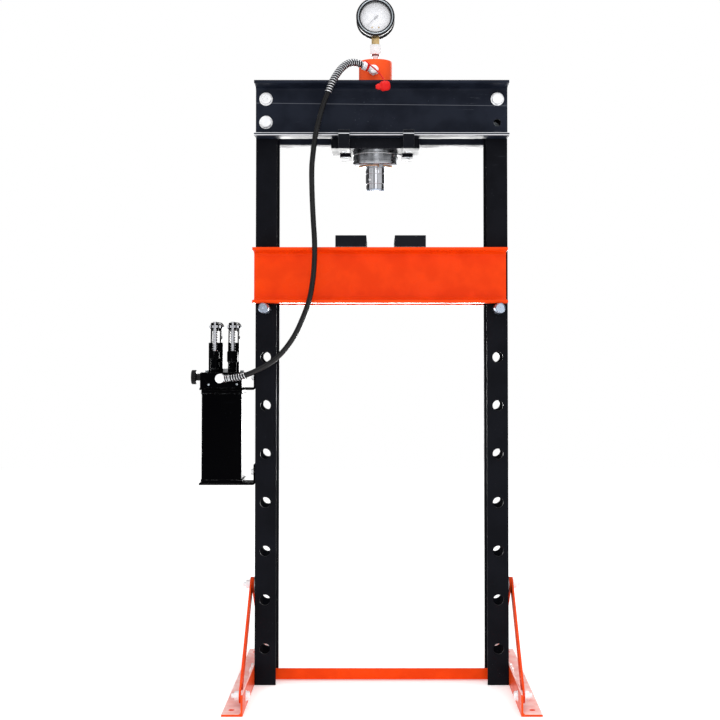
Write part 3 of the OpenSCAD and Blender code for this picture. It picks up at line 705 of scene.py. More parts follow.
@dataclass(frozen=True)
class Moulded(Finish):
    """Moulded plastic or rubber with a faint texture and rubbed high spots."""

    colour: tuple[float, float, float]
    rubbed: tuple[float, float, float]
    rough: float = 0.45
    coat: float = 0.0
    scale: float = 700.0
    marks: float = 0.2
    specular: float = 0.5

    def dress(self, g: Graph, skin: bpy.types.Node) -> None:
        """Lighten the rubbed spots and dust the upward faces."""
        grain = self.effect(g, Effect.GRAIN, Scale=self.scale)
        dust = self.effect(g, Effect.DUST, Amount=0.18)["Mask"]
        scuffs = self.effect(g, Effect.SCUFFS, Scale=18.0, Amount=0.25)["Mask"]
        tone = g.mix(g.ramp(grain["Tone"], 0.4, 0.7), (*self.colour, 1), (*self.rubbed, 1))
        tone = g.mix(g.math("MAXIMUM", scuffs, dust), tone,
                     (*[min(c * 1.6 + 0.03, 1) for c in self.rubbed], 1))
        g.tree.links.new(tone, skin.inputs["Base Color"])
        g.tree.links.new(g.ramp(grain["Height"], 0.4, 1.2, self.rough - 0.06, self.rough + 0.1),
                         skin.inputs["Roughness"])
        bump = g.node("Bump", {"Strength": self.marks, "Distance": 0.0003, "Height": grain["Height"]})
        g.tree.links.new(bump.outputs[0], skin.inputs["Normal"])
        self.set(skin, Coat_Weight=self.coat, Coat_Roughness=0.12, Specular_IOR_Level=self.specular)


@dataclass(frozen=True)
class Glazing(Finish):
    """Thin clear window, faintly smeared."""

    rough: float = 0.03

    def dress(self, g: Graph, skin: bpy.types.Node) -> None:
        """Let most light through and keep a soft shine."""
        smear = g.noise(g.place(), 60.0, 4.0, 0.6)
        g.tree.links.new(g.ramp(smear, 0.4, 0.8, self.rough, self.rough + 0.08), skin.inputs["Roughness"])
        g.tree.links.new(g.ramp(smear, 0.3, 0.9, 0.05, 0.09), skin.inputs["Alpha"])
        g.tree.links.new(g.mix(smear, (0.95, 0.97, 0.98, 1), (0.90, 0.93, 0.95, 1)),
                         skin.inputs["Base Color"])


# The frame's wear is set high so its lighter edges also paint the thin edge highlights on the uprights.
FRAME_BLACK = Enamel("frame_black", (0.0048, 0.0053, 0.0080), (0.0036, 0.004, 0.006), 0.38, 0.045,
                     wear=0.6, worn_to=(0.14, 0.14, 0.15), scuff=0.22, dust=0.05)
# On the head, line is the level of a painted reflection line across the web, and rims are the levels of
# two painted highlight lines on the lower flange's toes.
HEAD_NAVY = Enamel("head_navy_black", (0.0130, 0.0165, 0.0275), (0.008, 0.0105, 0.0185), 0.42, 0.06,
                   wear=0.5, scuff=0.75, scuffed_to=(0.17, 0.18, 0.21), dust=0.04, line=1.4755,
                   rims=(1.3892, 1.3948))
PUMP_BLACK = Enamel("pump_black", (0.0004, 0.0004, 0.0008), (0.0003, 0.0003, 0.0006), 0.26, 0.02,
                    wear=0.3, scuff=0.10, dust=0.02)
# High wear on the plate, clamp and block edges paints their bright edge highlights along with real wear;
# the rim level paints a highlight line on the plate's front.
PLATE_BLACK = Enamel("plate_black", (0.0065, 0.0072, 0.0105), (0.0045, 0.005, 0.008), 0.4, 0.06,
                     wear=0.9, scuff=0.4, dust=0.06, rims=(1.3915,))
ORANGE = Enamel("orange_enamel", (0.82, 0.056, 0.0025), (0.74, 0.046, 0.002), 0.3, 0.06, wear=0.35,
                worn_to=(0.30, 0.10, 0.05), scuff=0.22, scuffed_to=(0.92, 0.24, 0.10), dust=0.05,
                dusted_to=(0.9, 0.40, 0.25))
# The feet's near-full dust in pale pink mostly paints the light on their upward faces, with some dust.
FOOT_ORANGE = Enamel("foot_orange", (0.80, 0.075, 0.010), (0.72, 0.06, 0.008), 0.34, 0.12, wear=0.4,
                     worn_to=(0.35, 0.13, 0.08), scuff=0.3, scuffed_to=(0.9, 0.4, 0.25), dust=0.97,
                     dusted_to=(1.0, 0.76, 0.73))
CYLINDER_ORANGE = Enamel("cylinder_orange", (1.0, 0.110, 0.026), (0.95, 0.092, 0.020), 0.34, 0.06,
                         wear=0.3, worn_to=(0.35, 0.12, 0.06), scuff=0.25, scuffed_to=(0.9, 0.35, 0.2),
                         dust=0.1, dusted_to=(0.9, 0.5, 0.35))
ZINC = Steel("zinc_plate", (0.95, 0.955, 0.97), (0.66, 0.70, 0.77), 0.30, scale=350.0, dark=0.3,
             metal=0.25)
PIN_ZINC = Steel("pin_zinc", (0.42, 0.49, 0.60), (0.24, 0.29, 0.37), 0.30, scale=350.0, dark=0.45)
ZINC_DULL = Steel("dull_zinc", (0.60, 0.66, 0.70), (0.34, 0.38, 0.42), 0.36, scale=300.0, dark=0.5)
CHROME = Steel("hard_chrome", (0.66, 0.67, 0.71), (0.47, 0.49, 0.54), 0.14, across=0.25, upward=3.0,
               scale=700.0, marks=0.05, dark=0.25)
# Dark for steel: besides its own tone, this paints the shade on the gland collar under the carriage
# plate.
TURNED = Steel("turned_steel", (0.36, 0.37, 0.395), (0.19, 0.20, 0.22), 0.24, across=0.12, upward=5.0,
               scale=420.0, marks=0.16)
BLUED = Steel("blued_nose", (0.50, 0.56, 0.66), (0.30, 0.34, 0.42), 0.22, across=0.12, upward=5.0,
              scale=420.0, marks=0.14)
SPRING = Steel("spring_wire", (0.66, 0.67, 0.69), (0.30, 0.30, 0.32), 0.25, scale=600.0)
BRASS = Steel("machined_brass", (0.78, 0.56, 0.27), (0.46, 0.30, 0.12), 0.28, scale=500.0)
COPPER = Steel("copper_seal", (0.66, 0.36, 0.20), (0.32, 0.14, 0.07), 0.34, scale=500.0)
HOSE_BLACK = Moulded("hose_cover", (0.0022, 0.0022, 0.0027), (0.005, 0.005, 0.006), 0.22, scale=520.0,
                     marks=0.3, specular=0.30)
KNOB_BLACK = Moulded("knob_black", (0.006, 0.006, 0.007), (0.014, 0.014, 0.015), 0.36, specular=0.15)
RUBBER = Moulded("seal_rubber", (0.16, 0.02, 0.02), (0.11, 0.02, 0.02), 0.6, specular=0.2)
RED = Moulded("red_plastic", (0.62, 0.012, 0.011), (0.68, 0.022, 0.020), 0.34, scale=300.0, marks=0.12,
              specular=0.12)
DIAL = Moulded("dial_white", (0.86, 0.86, 0.89), (0.82, 0.82, 0.85), 0.5, scale=900.0, marks=0.03,
               specular=0.1)
PRINT = Moulded("dial_print", (0.42, 0.42, 0.44), (0.36, 0.36, 0.38), 0.5, scale=900.0, marks=0.03,
                specular=0.1)
BEZEL = Enamel("bezel_black", (0.010, 0.010, 0.013), (0.006, 0.006, 0.008), 0.26, 0.2, wear=0.25,
               scuff=0.15, dust=0.06)
WINDOW = Glazing("clear_window")


# ---------------------------------------------------------------- studio
@dataclass
class Studio:
    """Plain pale floor, soft lights and the camera."""

    lens: float = 66.44
    eye: tuple[float, float, float] = (-0.0062, -3.440, 0.8460)
    tilt: float = math.pi / 2 + 0.0338
    shift: tuple[float, float] = (-0.0267, -0.0757)
    floor: float = 12.0

    def camera(self) -> None:
        """Make the camera at standing height in front of the press."""
        data = bpy.data.cameras.new("camera")
        data.lens, data.sensor_width = self.lens, 36.0
        data.shift_x, data.shift_y = self.shift
        data.clip_end = 60.0
        eye = bpy.data.objects.new("camera", data)
        eye.location, eye.rotation_euler = self.eye, (self.tilt, 0, 0)
        bpy.context.scene.collection.objects.link(eye)
        bpy.context.scene.camera = eye

    def light(self, name: str, at: Sequence[float], aim: Sequence[float], size: tuple[float, float],
              watts: float, mirrored: bool = True) -> None:
        """Make one soft rectangular light.

        Args:
            name: name of the light.
            at: its middle.
            aim: the point that it faces.
            size: width and height.
            watts: power.
            mirrored: whether glossy surfaces show it.
        """
        data = bpy.data.lights.new(name, "AREA")
        data.shape, data.size, data.size_y, data.energy = "RECTANGLE", size[0], size[1], watts
        lamp = bpy.data.objects.new(name, data)
        lamp.location = at
        away = unit(vec(*at) - vec(*aim))
        lamp.rotation_euler = (math.acos(away[2]), 0, math.atan2(away[0], -away[1]))
        lamp.visible_glossy = mirrored
        bpy.context.scene.collection.objects.link(lamp)

    def world(self) -> None:
        """White backdrop for the eye, soft daylight for surfaces, and a room in reflections.

        The room is bright at both sides and dark behind, with a strong glare just
        under the rear horizon, which undersides seen at a grazing angle pick up.
        """
        world = bpy.data.worlds.new("room")
        world.use_nodes = True
        world.node_tree.nodes.clear()
        g = Graph(world.node_tree)
        ray = g.node("LightPath").outputs
        way = g.node("SeparateXYZ", {0: g.node("TexCoord").outputs["Generated"]}).outputs
        side = g.math("ABSOLUTE", way[0])
        rear = g.ramp(way[1], -0.1, 0.35, 1.0, 0.12)
        room = g.math("MULTIPLY", rear, g.ramp(side, 0.30, 0.55, 0.30, 0.72))
        room = g.math("ADD", room, g.ramp(way[2], 0.25, 0.9, 0.0, 0.35))
        low = g.math("MULTIPLY", g.ramp(way[1], 0.86, 0.93, 0.0, LOW_GLARE),
                     g.ramp(way[2], -0.02, 0.03, 1.0, 0.0))
        room = g.math("ADD", room, low)
        light = g.math("ADD", 0.80, g.math("MULTIPLY", way[2], 0.12))
        shown = g.node("Mix", {0: ray["Is Glossy Ray"], 2: light, 3: room}, data_type="FLOAT").outputs[0]
        shown = g.node("Mix", {0: ray["Is Camera Ray"], 2: shown, 3: BACKDROP},
                       data_type="FLOAT").outputs[0]
        back = g.node("Background", {"Color": (1, 1, 1, 1), "Strength": shown})
        g.node("OutputWorld", {"Surface": back.outputs[0]})
        bpy.context.scene.world = world

    def ground(self) -> None:
        """Make the floor sheet, just below the feet."""
        h = self.floor / 2
        mesh = bpy.data.meshes.new("floor")
        mesh.from_pydata([(-h, -h, -0.0005), (h, -h, -0.0005), (h, h, -0.0005), (-h, h, -0.0005)], [],
                         [(0, 1, 2, 3)])
        floor = bpy.data.objects.new("floor", mesh)
        bpy.context.scene.collection.objects.link(floor)
        made = bpy.data.materials.new("pale_floor")
        made.use_nodes = True
        g = Graph(made.node_tree)
        skin = made.node_tree.nodes["Principled BSDF"]
        tone = g.mix(g.noise(g.place(), 3.0, 4.0), (0.93, 0.93, 0.93, 1), (0.90, 0.90, 0.905, 1))
        g.tree.links.new(tone, skin.inputs["Base Color"])
        g.tree.links.new(g.node("Mix", {0: 0.5, 6: tone, 7: (1, 1, 1, 1)}, data_type="RGBA").outputs[2],
                         skin.inputs["Emission Color"])
        Finish.set(skin, Roughness=0.75, Emission_Strength=0.32, Specular_IOR_Level=0.2)
        mesh.materials.append(made)

    def build(self) -> None:
        """Make the whole studio."""
        bpy.context.scene.view_settings.view_transform = "Standard"
        self.camera()
        self.world()
        self.ground()
        self.light("key", (-0.5, -5.0, 1.75), (0, 0, 1.0), (2.6, 2.6), 34, mirrored=False)
        self.light("strip", (0.41, -3.9, 1.5), (0, 0, 1.3), (1.5, 2.2), 14)
        self.light("top", (0, -0.8, 3.6), (0, 0, 1.2), (2.4, 1.6), 30)
        self.light("rear", (1.4, 2.6, 2.2), (0, 0, 1.1), (1.2, 1.8), 26)


# ---------------------------------------------------------------- hose line
@dataclass
class HoseLine:
    """High-pressure hose from the cylinder down to the pump, with a coil guard at each end."""

    diameter: float = 13.5
    stations: tuple[tuple[float, float, float], ...] = (
        (-50, -67, 1575), (-66, -75, 1579), (-82, -86, 1576), (-98, -99, 1563),
        (-112, -113, 1543), (-124, -124, 1519), (-135, -129, 1492), (-147, -130, 1460),
        (-158, -129, 1420), (-167, -128, 1378), (-172, -127, 1338), (-175, -126, 1298),
        (-174, -126, 1236), (-171, -126, 1172), (-168, -126, 1122), (-168, -126, 1072),
        (-172, -125, 1022), (-181, -124, 972), (-198, -121, 925), (-220, -116, 880),
        (-251, -109, 839), (-286, -101, 811), (-320, -93, 793), (-352, -86, 781),
        (-384, -79, 776))

    def coil(self, name: str, node: str, line: np.ndarray, pitch: float) -> bpy.types.Object:
        """Wind a wire round a stretch of the hose.

        The wire's point at angle a lies the coil radius from the hose's line,
        in the plane across it, and a grows evenly along the line.

        Args:
            name: name of the piece.
            node: node that it replaces.
            line: points of the hose's line.
            pitch: distance from one turn to the next.

        Returns:
            The piece.
        """
        reach = np.concatenate([[0], np.cumsum(np.linalg.norm(np.diff(line, axis=0), axis=1))])
        n = int(reach[-1] / pitch * 16)
        s = np.linspace(0, reach[-1], n)
        mid = np.stack([np.interp(s, reach, line[:, k]) for k in range(3)], -1)
        t = unit(np.gradient(mid, axis=0))
        u = unit(np.cross(t, vec(*BACK)))
        a = (2 * math.pi * s / pitch)[:, None]
        wire = mid + (self.diameter / 2 + 1.5) * (np.cos(a) * u + np.sin(a) * np.cross(t, u))
        mesh = Form().tube(wire, 1.45, 8, t).mesh(name)
        return placed(name, mesh, node, SPRING, (node,))

    def build(self) -> None:
        """Make the hose and its coil guards."""
        points = np.array(self.stations, float)
        line = smooth_route(points, 8)
        s = np.concatenate([[0], np.cumsum(np.linalg.norm(np.diff(line, axis=0), axis=1))])
        radius = self.diameter / 2 + 0.05 * np.sin(2 * math.pi * s / 3.2)
        mesh = Form().tube(line, radius, 24).mesh("hose_tube", sharp=60)
        hose = bpy.data.objects.new("hose_tube", mesh)
        bpy.context.scene.collection.objects.link(hose)
        mesh.materials.append(HOSE_BLACK.material())
        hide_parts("hose")
        upper, lower = smooth_route(points[:7], 8), smooth_route(points[-3:], 8)[6:]
        guards = [self.coil("top_coil_guard", "hose_guard_top", upper, 6.6),
                  self.coil("bottom_coil_guard", "hose_guard_bottom", lower, 6.6)]
        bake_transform(hose)


# ---------------------------------------------------------------- frame
@dataclass
class Channel:
    """Rolled steel channel with tapered flanges, root fillets and rounded toes."""

    height: float
    flange: float
    web: float
    thick: float

    def outline(self) -> np.ndarray:
        """Return the section: first coordinate out from the back of the web, second across it."""
        h, b, w, t = self.height, self.flange, self.web, self.thick
        toe, root = 0.8 * t, 1.12 * t
        return rounded([(0, 0, 1.6), (b, 0, 0.9), (b, toe, 3.2), (w, root, 9), (w, h - root, 9),
                        (b, h - toe, 3.2), (b, h, 0.9), (0, h, 1.6)], 6)


@dataclass
class SteelFrame:
    """The two uprights and the two head channels."""

    width: float = 644
    height: float = 1528
    depth: float = 100
    pin_hole: float = 26.6
    bolt_hole: float = 19
    first_hole: float = 91
    pitch: float = 123
    holes: int = 8
    hole_x: float = 296
    bolt_z: tuple[float, float] = (1489, 1429)
    post: Channel = field(default_factory=lambda: Channel(100, 54, 6, 7.5))
    beam: Channel = field(default_factory=lambda: Channel(140, 60, 7, 9))

    def upright(self, side: Side) -> None:
        """Make one upright with its pin, bolt and bracket holes."""
        s = side.value
        px, py = self.width / 2, self.depth / 2
        body = Form().extruded(self.post.outline(), (s * px, -py, 0), (-s, 0, 0), BACK,
                               (0, 0, self.height))
        holes = Form()
        for k in range(self.holes):
            r = self.pin_hole / 2
            holes.turned([(r, -py - 4), (r, py + 4)],
                         (s * self.hole_x, 0, self.first_hole + k * self.pitch), BACK, 64)
        for z in self.bolt_z:
            holes.turned([(self.bolt_hole / 2, -py - 4), (self.bolt_hole / 2, py + 4)],
                         (s * self.hole_x, 0, z), BACK, 40)
        across = [(0, 246, 6.5), (-22, 28, 6.5), (22, 28, 6.5)]
        if side is Side.LEFT:
            across += [(y, z, 4.5) for z in (535, 777) for y in (-26, 26)]
        for y, z, r in across:
            holes.turned([(r, -12), (r, 12)], (s * px, y, z), ACROSS, 32)
        node = "upright_" + side.name.lower()
        channel = drilled(body, holes, node + "_channel")
        placed(node + "_channel", channel, node, FRAME_BLACK, (node,), 0.7)

    def head(self, s: int, node: str) -> None:
        """Make one head channel; s is -1 at the front and 1 at the rear."""
        px, py, z0 = self.width / 2, self.depth / 2, self.height - self.beam.height
        body = Form().extruded(self.beam.outline(), (-px, s * py, z0), (0, s, 0), UP, (self.width, 0, 0))
        holes = Form()
        for x in (-self.hole_x, self.hole_x):
            for z in self.bolt_z:
                r = self.bolt_hole / 2
                holes.turned([(r, -5), (r, 14)], (x, s * py, z), (0, s, 0), 40)
        placed(node + "_channel", drilled(body, holes, node + "_channel"), node, HEAD_NAVY, (node,), 0.7)

    def fasteners(self) -> None:
        """Make the seven head bolts with their washers, nuts and thread ends."""
        heads, nuts = Form(), Form()
        py = self.depth / 2
        for s in (-1, 1):
            for i in (-1, 1):
                for k, z in enumerate(self.bolt_z):
                    if (s, i, k) == (-1, 1, 1):
                        continue
                    x = i * self.hole_x
                    heads.bolt((x, s * (py + self.beam.web), z), (0, s, 0), 27, 11, 0, 34, 2.5)
                    nuts.bolt((x, s * (py - 12.6), z), (0, -s, 0), 27, 13, 5, 32, 2.5)
                    shank = [(9.2, 0), (9.2, 30)]
                    heads.turned(shank, (x, s * (py + self.beam.web), z), (0, -s, 0), 32)
        heads.piece("head_bolt_heads", "head_bolts", ZINC)
        nuts.piece("head_bolt_nuts", "head_nuts", ZINC_DULL)

    def build(self) -> None:
        """Make the frame's channels and its bolts."""
        for side in Side:
            self.upright(side)
        self.head(-1, "head_front")
        self.head(1, "head_rear")
        self.fasteners()


# ---------------------------------------------------------------- feet
@dataclass
class Feet:
    """Foot angles, braces, their bolts, and the welded tie bar."""

    px: float = 322
    length: float = 680
    leg: float = 50
    thick: float = 5
    brace_top: float = 246
    brace_end: float = 268
    brace_width: float = 36

    def angle(self, side: Side) -> None:
        """Make one foot angle with its root fillet, rounded toes and holes."""
        s, b, t, h = side.value, self.leg, self.thick, self.length / 2
        outline = rounded([(0, 0, 0.8), (b, 0, 0.8), (b, t, 2.6), (t, t, 6), (t, b, 2.6), (0, b, 0.8)], 6)
        body = Form().extruded(outline, (s * self.px, -h, 0), (s, 0, 0), UP, (0, 2 * h, 0))
        holes = Form()
        for e in (-1, 1):
            holes.turned([(7, -3), (7, 12)], (s * (self.px + 30), e * (h - 40), 0), UP, 40)
            holes.turned([(6.5, -12), (6.5, 12)], (s * self.px, e * (h - 72), 30), ACROSS, 32)
            holes.turned([(6.5, -12), (6.5, 12)], (s * self.px, e * 22, 28), ACROSS, 32)
        node = "foot_" + side.name.lower()
        placed(node + "_angle", drilled(body, holes, node + "_angle"), node, FOOT_ORANGE, (node,), 0.6)

    def brace(self, side: Side, e: int) -> None:
        """Make one flat brace with round ends; e is -1 at the front and 1 at the rear."""
        s, r, t = side.value, self.brace_width / 2, self.thick
        x = self.px + t + (t if e < 0 else 0)
        a, b = vec(0, self.brace_top), vec(e * self.brace_end, 30)
        lean = math.atan2(*(b - a)[::-1])
        arc = np.linspace(-math.pi / 2, math.pi / 2, 14)
        ends = [c + r * np.stack([np.cos(arc + turn), np.sin(arc + turn)], -1)
                for c, turn in ((b, lean), (a, lean + math.pi))]
        body = Form().extruded(np.vstack(ends), (s * x, 0, 0), BACK, UP, (s * t, 0, 0))
        holes = Form()
        for y, z in (a, b):
            holes.turned([(6.5, -20), (6.5, 20)], (s * (x + t / 2), y, z), ACROSS, 32)
        node = f"brace_{'front' if e < 0 else 'rear'}_{side.name.lower()}"
        placed(node + "_bar", drilled(body, holes, node + "_bar"), node, ORANGE, (node,), 0.6)

    def bolts(self) -> None:
        """Make the brace and foot bolts: hexagon heads, nuts, washers, spacers and thread ends."""
        px, t = self.px, self.thick
        braces, feet = Form(), Form()
        for s in (-1, 1):
            out, inward = (s, 0, 0), (-s, 0, 0)
            braces.bolt((s * (px + 3 * t), 0, self.brace_top), out, 19, 9.6, 7, 25, 2)
            braces.bolt((s * (px - 6), 0, self.brace_top), inward, 19, 7.5, 0, 25, 2)
            braces.turned([(13, 0), (13, t)], (s * px, 0, self.brace_top), out, 48)
            braces.turned([(6, 0), (6, 24)], (s * (px - 7), 0, self.brace_top), out, 24)
            for e in (-1, 1):
                x = px + (3 if e < 0 else 2) * t
                braces.bolt((s * x, e * self.brace_end, 30), out, 19, 9.6, 7, 25, 2)
                braces.bolt((s * px, e * self.brace_end, 30), inward, 19, 7.5, 0, 25, 2)
                braces.turned([(6, 0), (6, x - px + 2)], (s * (px - 1), e * self.brace_end, 30), out, 24)
            braces.turned([(13, 0), (13, t)], (s * (px + t), -self.brace_end, 30), out, 48)
            for y in (-22, 22):
                feet.bolt((s * (px + t), y, 28), out, 19, 7.5, 0, 25, 2)
                feet.bolt((s * (px - 6), y, 28), inward, 19, 9.6, 4, 25, 2)
                feet.turned([(6, 0), (6, 14)], (s * (px - 7), y, 28), out, 24)
        braces.piece("brace_bolt_set", "brace_bolts", ZINC)
        feet.piece("foot_bolt_set", "foot_bolts", ZINC)

    def tie(self) -> None:
        """Make the tie angle and the weld beads at its ends."""
        reach = self.px - 6
        outline = rounded([(-2, 0, 0.6), (26, 0, 0.6), (26, 3.6, 1.8), (2, 3.6, 4), (2, 28, 1.2),
                           (-2, 28, 0.6)], 5)
        body = Form().extruded(outline, (-reach, 0, 3), BACK, UP, (2 * reach, 0, 0))
        body.piece("tie_angle", "tie_bar", ORANGE, bevel=0.4)
        beads = Form()
        for x in (-reach, reach):
            beads.weld((x, -2.4, 5), (x, -2.4, 30), 2.2, ACROSS)
            beads.weld((x, 4, 7), (x, 25, 7), 2.2, ACROSS)
        beads.piece("tie_welds", "tie_bar", ORANGE, whole=False)

    def build(self) -> None:
        """Make both feet, the braces, the bolts and the tie."""
        for side in Side:
            self.angle(side)
            self.brace(side, -1)
            self.brace(side, 1)
        self.bolts()
        self.tie()


# ---------------------------------------------------------------- bed
@dataclass
class Bed:
    """The two bed channels with their cross plates, the pins and the support blocks."""

    shift: float = -4
    length: float = 642
    y: float = 52
    z: float = 965.3
    spacer_x: float = 246
    pin_x: float = 296
    pin_z: float = 952
    pin_d: float = 26
    pin_reach: float = 126
    beam: Channel = field(default_factory=lambda: Channel(140, 60, 7, 9))

    def channels(self) -> None:
        """Make the front and the rear bed channel."""
        for s, node in ((-1, "bed_front"), (1, "bed_rear")):
            body = Form().extruded(self.beam.outline(),
                                   (self.shift - self.length / 2, s * self.y, self.z),
                                   (0, s, 0), UP, (self.length, 0, 0))
            body.piece(node + "_channel", node, ORANGE, bevel=0.7)

    def plates(self) -> None:
        """Make the cross plates, with the rippled welds that hold them."""
        softened("bed_spacers", ORANGE, 0.5)
        beads = Form()
        for i in (-1, 1):
            for s in (-1, 1):
                for side in (-1, 1):
                    x = self.shift + i * self.spacer_x + side * 5.6
                    beads.weld((x, s * (self.y - 0.6), self.z + 18),
                               (x, s * (self.y - 0.6), self.z + 122), 3.0, ACROSS)
        beads.piece("bed_welds", "bed_spacers", ORANGE, whole=False)

    def pins(self) -> None:
        """Make the two bed pins: chamfered bars with a centre mark."""
        r, h = self.pin_d / 2, self.pin_reach
        half = [(0.01, -h + 1.5), (2.2, -h), (r - 3, -h), (r - 0.2, -h + 2.8), (r, -h + 3.4),
                (r, -h + 40)]
        profile = half + [(q[0], -q[1]) for q in reversed(half)]
        for side in Side:
            node = "bed_pin_" + side.name.lower()
            bar = Form().turned(profile, (side.value * self.pin_x, 0, self.pin_z), BACK, 72)
            bar.piece(node + "_bar", node, PIN_ZINC)

    def build(self) -> None:
        """Make the bed, its pins and its blocks."""
        self.channels()
        self.plates()
        self.pins()
        softened("block_left", PLATE_BLACK, 0.9)
        softened("block_right", PLATE_BLACK, 0.9)


# ---------------------------------------------------------------- carriage
@dataclass
class Carriage:
    """Plate and clamps under the head, with the cylinder, its collar, the ram and the port."""

    x: float = -16
    plate_low: float = 1361.7
    collar_low: float = 1322.7
    barrel_r: float = 43
    bore_r: float = 33
    barrel_top: float = 1597
    collar_r: float = 58
    ram_r: float = 25
    nose_z: float = 1258
    port: tuple[float, float, float] = (-20.42, -53.0, 1565.76)
    port_way: tuple[float, float, float] = (0.8699, 0.4116, -0.2718)

    def mounting(self) -> None:
        """Dress the plate, its hook clamps and their sunk screws."""
        softened("carriage_plate", PLATE_BLACK, 0.8)
        softened("carriage_clamps", PLATE_BLACK, 0.7)
        softened("clamp_screws", ZINC_DULL, 0.3)

    def barrel(self) -> None:
        """Turn the cylinder: rounded top edge, closed end, open bore."""
        r, top, b = self.barrel_r, self.barrel_top, self.bore_r
        arc = np.linspace(0, math.pi / 2, 9)
        crown = [(r - 3 + 3 * math.cos(a), top - 3 + 3 * math.sin(a)) for a in arc]
        profile = [(0.01, top - 23), (b - 3, top - 23), (b, top - 26), (b, self.collar_low + 46),
                   (r, self.collar_low + 46), (r, top - 40), *crown, (16, top), (15.2, top - 0.8),
                   (12, top - 0.8), (0.01, top - 0.8)]
        mesh = Form().turned(profile, (self.x, 0, 0), UP, 96).mesh("cylinder_barrel")
        placed("cylinder_barrel", mesh, "cylinder_body", CYLINDER_ORANGE, ("cylinder_body",))

    def collar(self) -> None:
        """Turn the gland collar, with its wire ring, its thread band and the copper ring below."""
        c, top, low = self.collar_r, self.plate_low, self.collar_low
        g = self.ram_r + 0.06
        profile = [(self.barrel_r, top), (c - 0.6, top), (c, top - 0.6), (c, top - 7.5),
                   (c - 2.5, top - 7.8), (c - 2.5, top - 11.3), (c, top - 11.5), (c, low + 13),
                   (c - 0.5, low + 12.6), (c - 0.5, low + 11.4), (c, low + 11), (c, low + 4.5),
                   (c - 1.1, low + 2.4), (c - 3, low + 0.4), (c - 4, low), (42, low), (41.4, low - 4),
                   (g + 1.2, low - 4), (g, low - 2.8), (g, low + 40), (self.bore_r, low + 40),
                   (self.bore_r, low + 46), (self.barrel_r, low + 46)]
        ring = np.array(profile)
        form = Form().turned(np.vstack([ring, ring[:1]]), (self.x, 0, 0), UP, 120)
        form.faces = form.faces[:-2]
        form.piece("gland_collar", "cylinder_collar", TURNED, sharp=28)
        a = np.radians(np.linspace(-20, 318, 120))
        wire = np.stack([self.x + (c - 0.9) * np.cos(a), (c - 0.9) * np.sin(a),
                         np.full_like(a, top - 9.5)], -1)
        tail = wire[:1] + np.array([[15, -9, -3.5], [11, -7.5, -1.6], [6, -5.0, -0.4], [2.5, -2.4, 0.0]])
        Form().tube(np.vstack([tail, wire[2:]]), 1.6, 10, UP).piece("wire_ring", "snap_ring", SPRING)
        a = np.radians(np.linspace(-62, 282, 110))
        seal = np.stack([self.x + 43.3 * np.cos(a), 43.3 * np.sin(a), np.full_like(a, low - 1.2)], -1)
        hook = seal[-1:] + np.array([[-1.5, -1.5, -0.6], [-2.0, -4.0, -2.6], [-1.0, -5.2, -5.2]])
        copper = Form().tube(np.vstack([seal, hook]), 1.5, 10, UP)
        copper.piece("copper_ring", "cylinder_collar", COPPER, whole=False)

    def ram(self) -> None:
        """Turn the ram with its groove and set screw, and the separate nose."""
        r, z = self.ram_r, self.nose_z
        top = self.barrel_top - 46
        body = Form().turned([(0.01, z + 6), (r - 1.2, z + 6), (r - 1.2, z + 18.5), (r - 0.1, z + 19.3),
                              (r, z + 19.8), (r, z + 44), (r - 0.5, z + 44.4), (r - 0.5, z + 45.4),
                              (r, z + 45.8), (r, top - 24), (12, top - 24), (12, top - 2),
                              (0.01, top - 2)], (self.x, 0, 0), UP, 96)
        way = unit(vec(-0.6, -0.8, 0))
        screw = vec(self.x, 0, z + 29) + way * r
        cut = Form().turned([(4.2, -5), (4.2, 5)], screw, way, 32)
        slot = vec(self.x + 8, -r, z + 50)
        cut.extruded(rounded([(-1.6, -4.5, 1.5), (1.6, -4.5, 1.5), (1.6, 4.5, 1.5), (-1.6, 4.5, 1.5)]),
                     slot + vec(0, 5, 0), ACROSS, UP, (0, -9, 0))
        placed("ram_bar", drilled(body, cut, "ram_bar"), "ram_rod", CHROME, ("ram_rod",), 0.25)
        socket = [(3.9, -4.4), (3.9, -1.8), (3.4, -1.2), (2.3, -1.2), (1.9, -3.2), (0.01, -3.4)]
        Form().turned(socket, screw, way, 36).piece("ram_set_screw", "ram_rod", ZINC, whole=False)
        nose = [(0.01, z + 0.3), (8, z + 0.3), (8.6, z), (r - 4, z), (r - 2.2, z + 0.9),
                (r - 1.3, z + 2.6), (r - 1.2, z + 5.9), (10, z + 5.9), (10, z + 16), (0.01, z + 16)]
        Form().turned(nose, (self.x, 0, 0), UP, 96).piece("ram_tip", "ram_nose", BLUED)
        softened("ram_piston", TURNED, 0.3)
        frame["nodes"]["return_spring"].data.materials[0] = SPRING.material()

    def along(self, form: Form, profile: Sequence[Sequence[float]], sides: int = 40,
              flats: float = 0.0) -> Form:
        """Turn a profile on the line from the port elbow into the hose."""
        return form.turned(profile, self.port, tuple(-c for c in self.port_way), sides, flats)

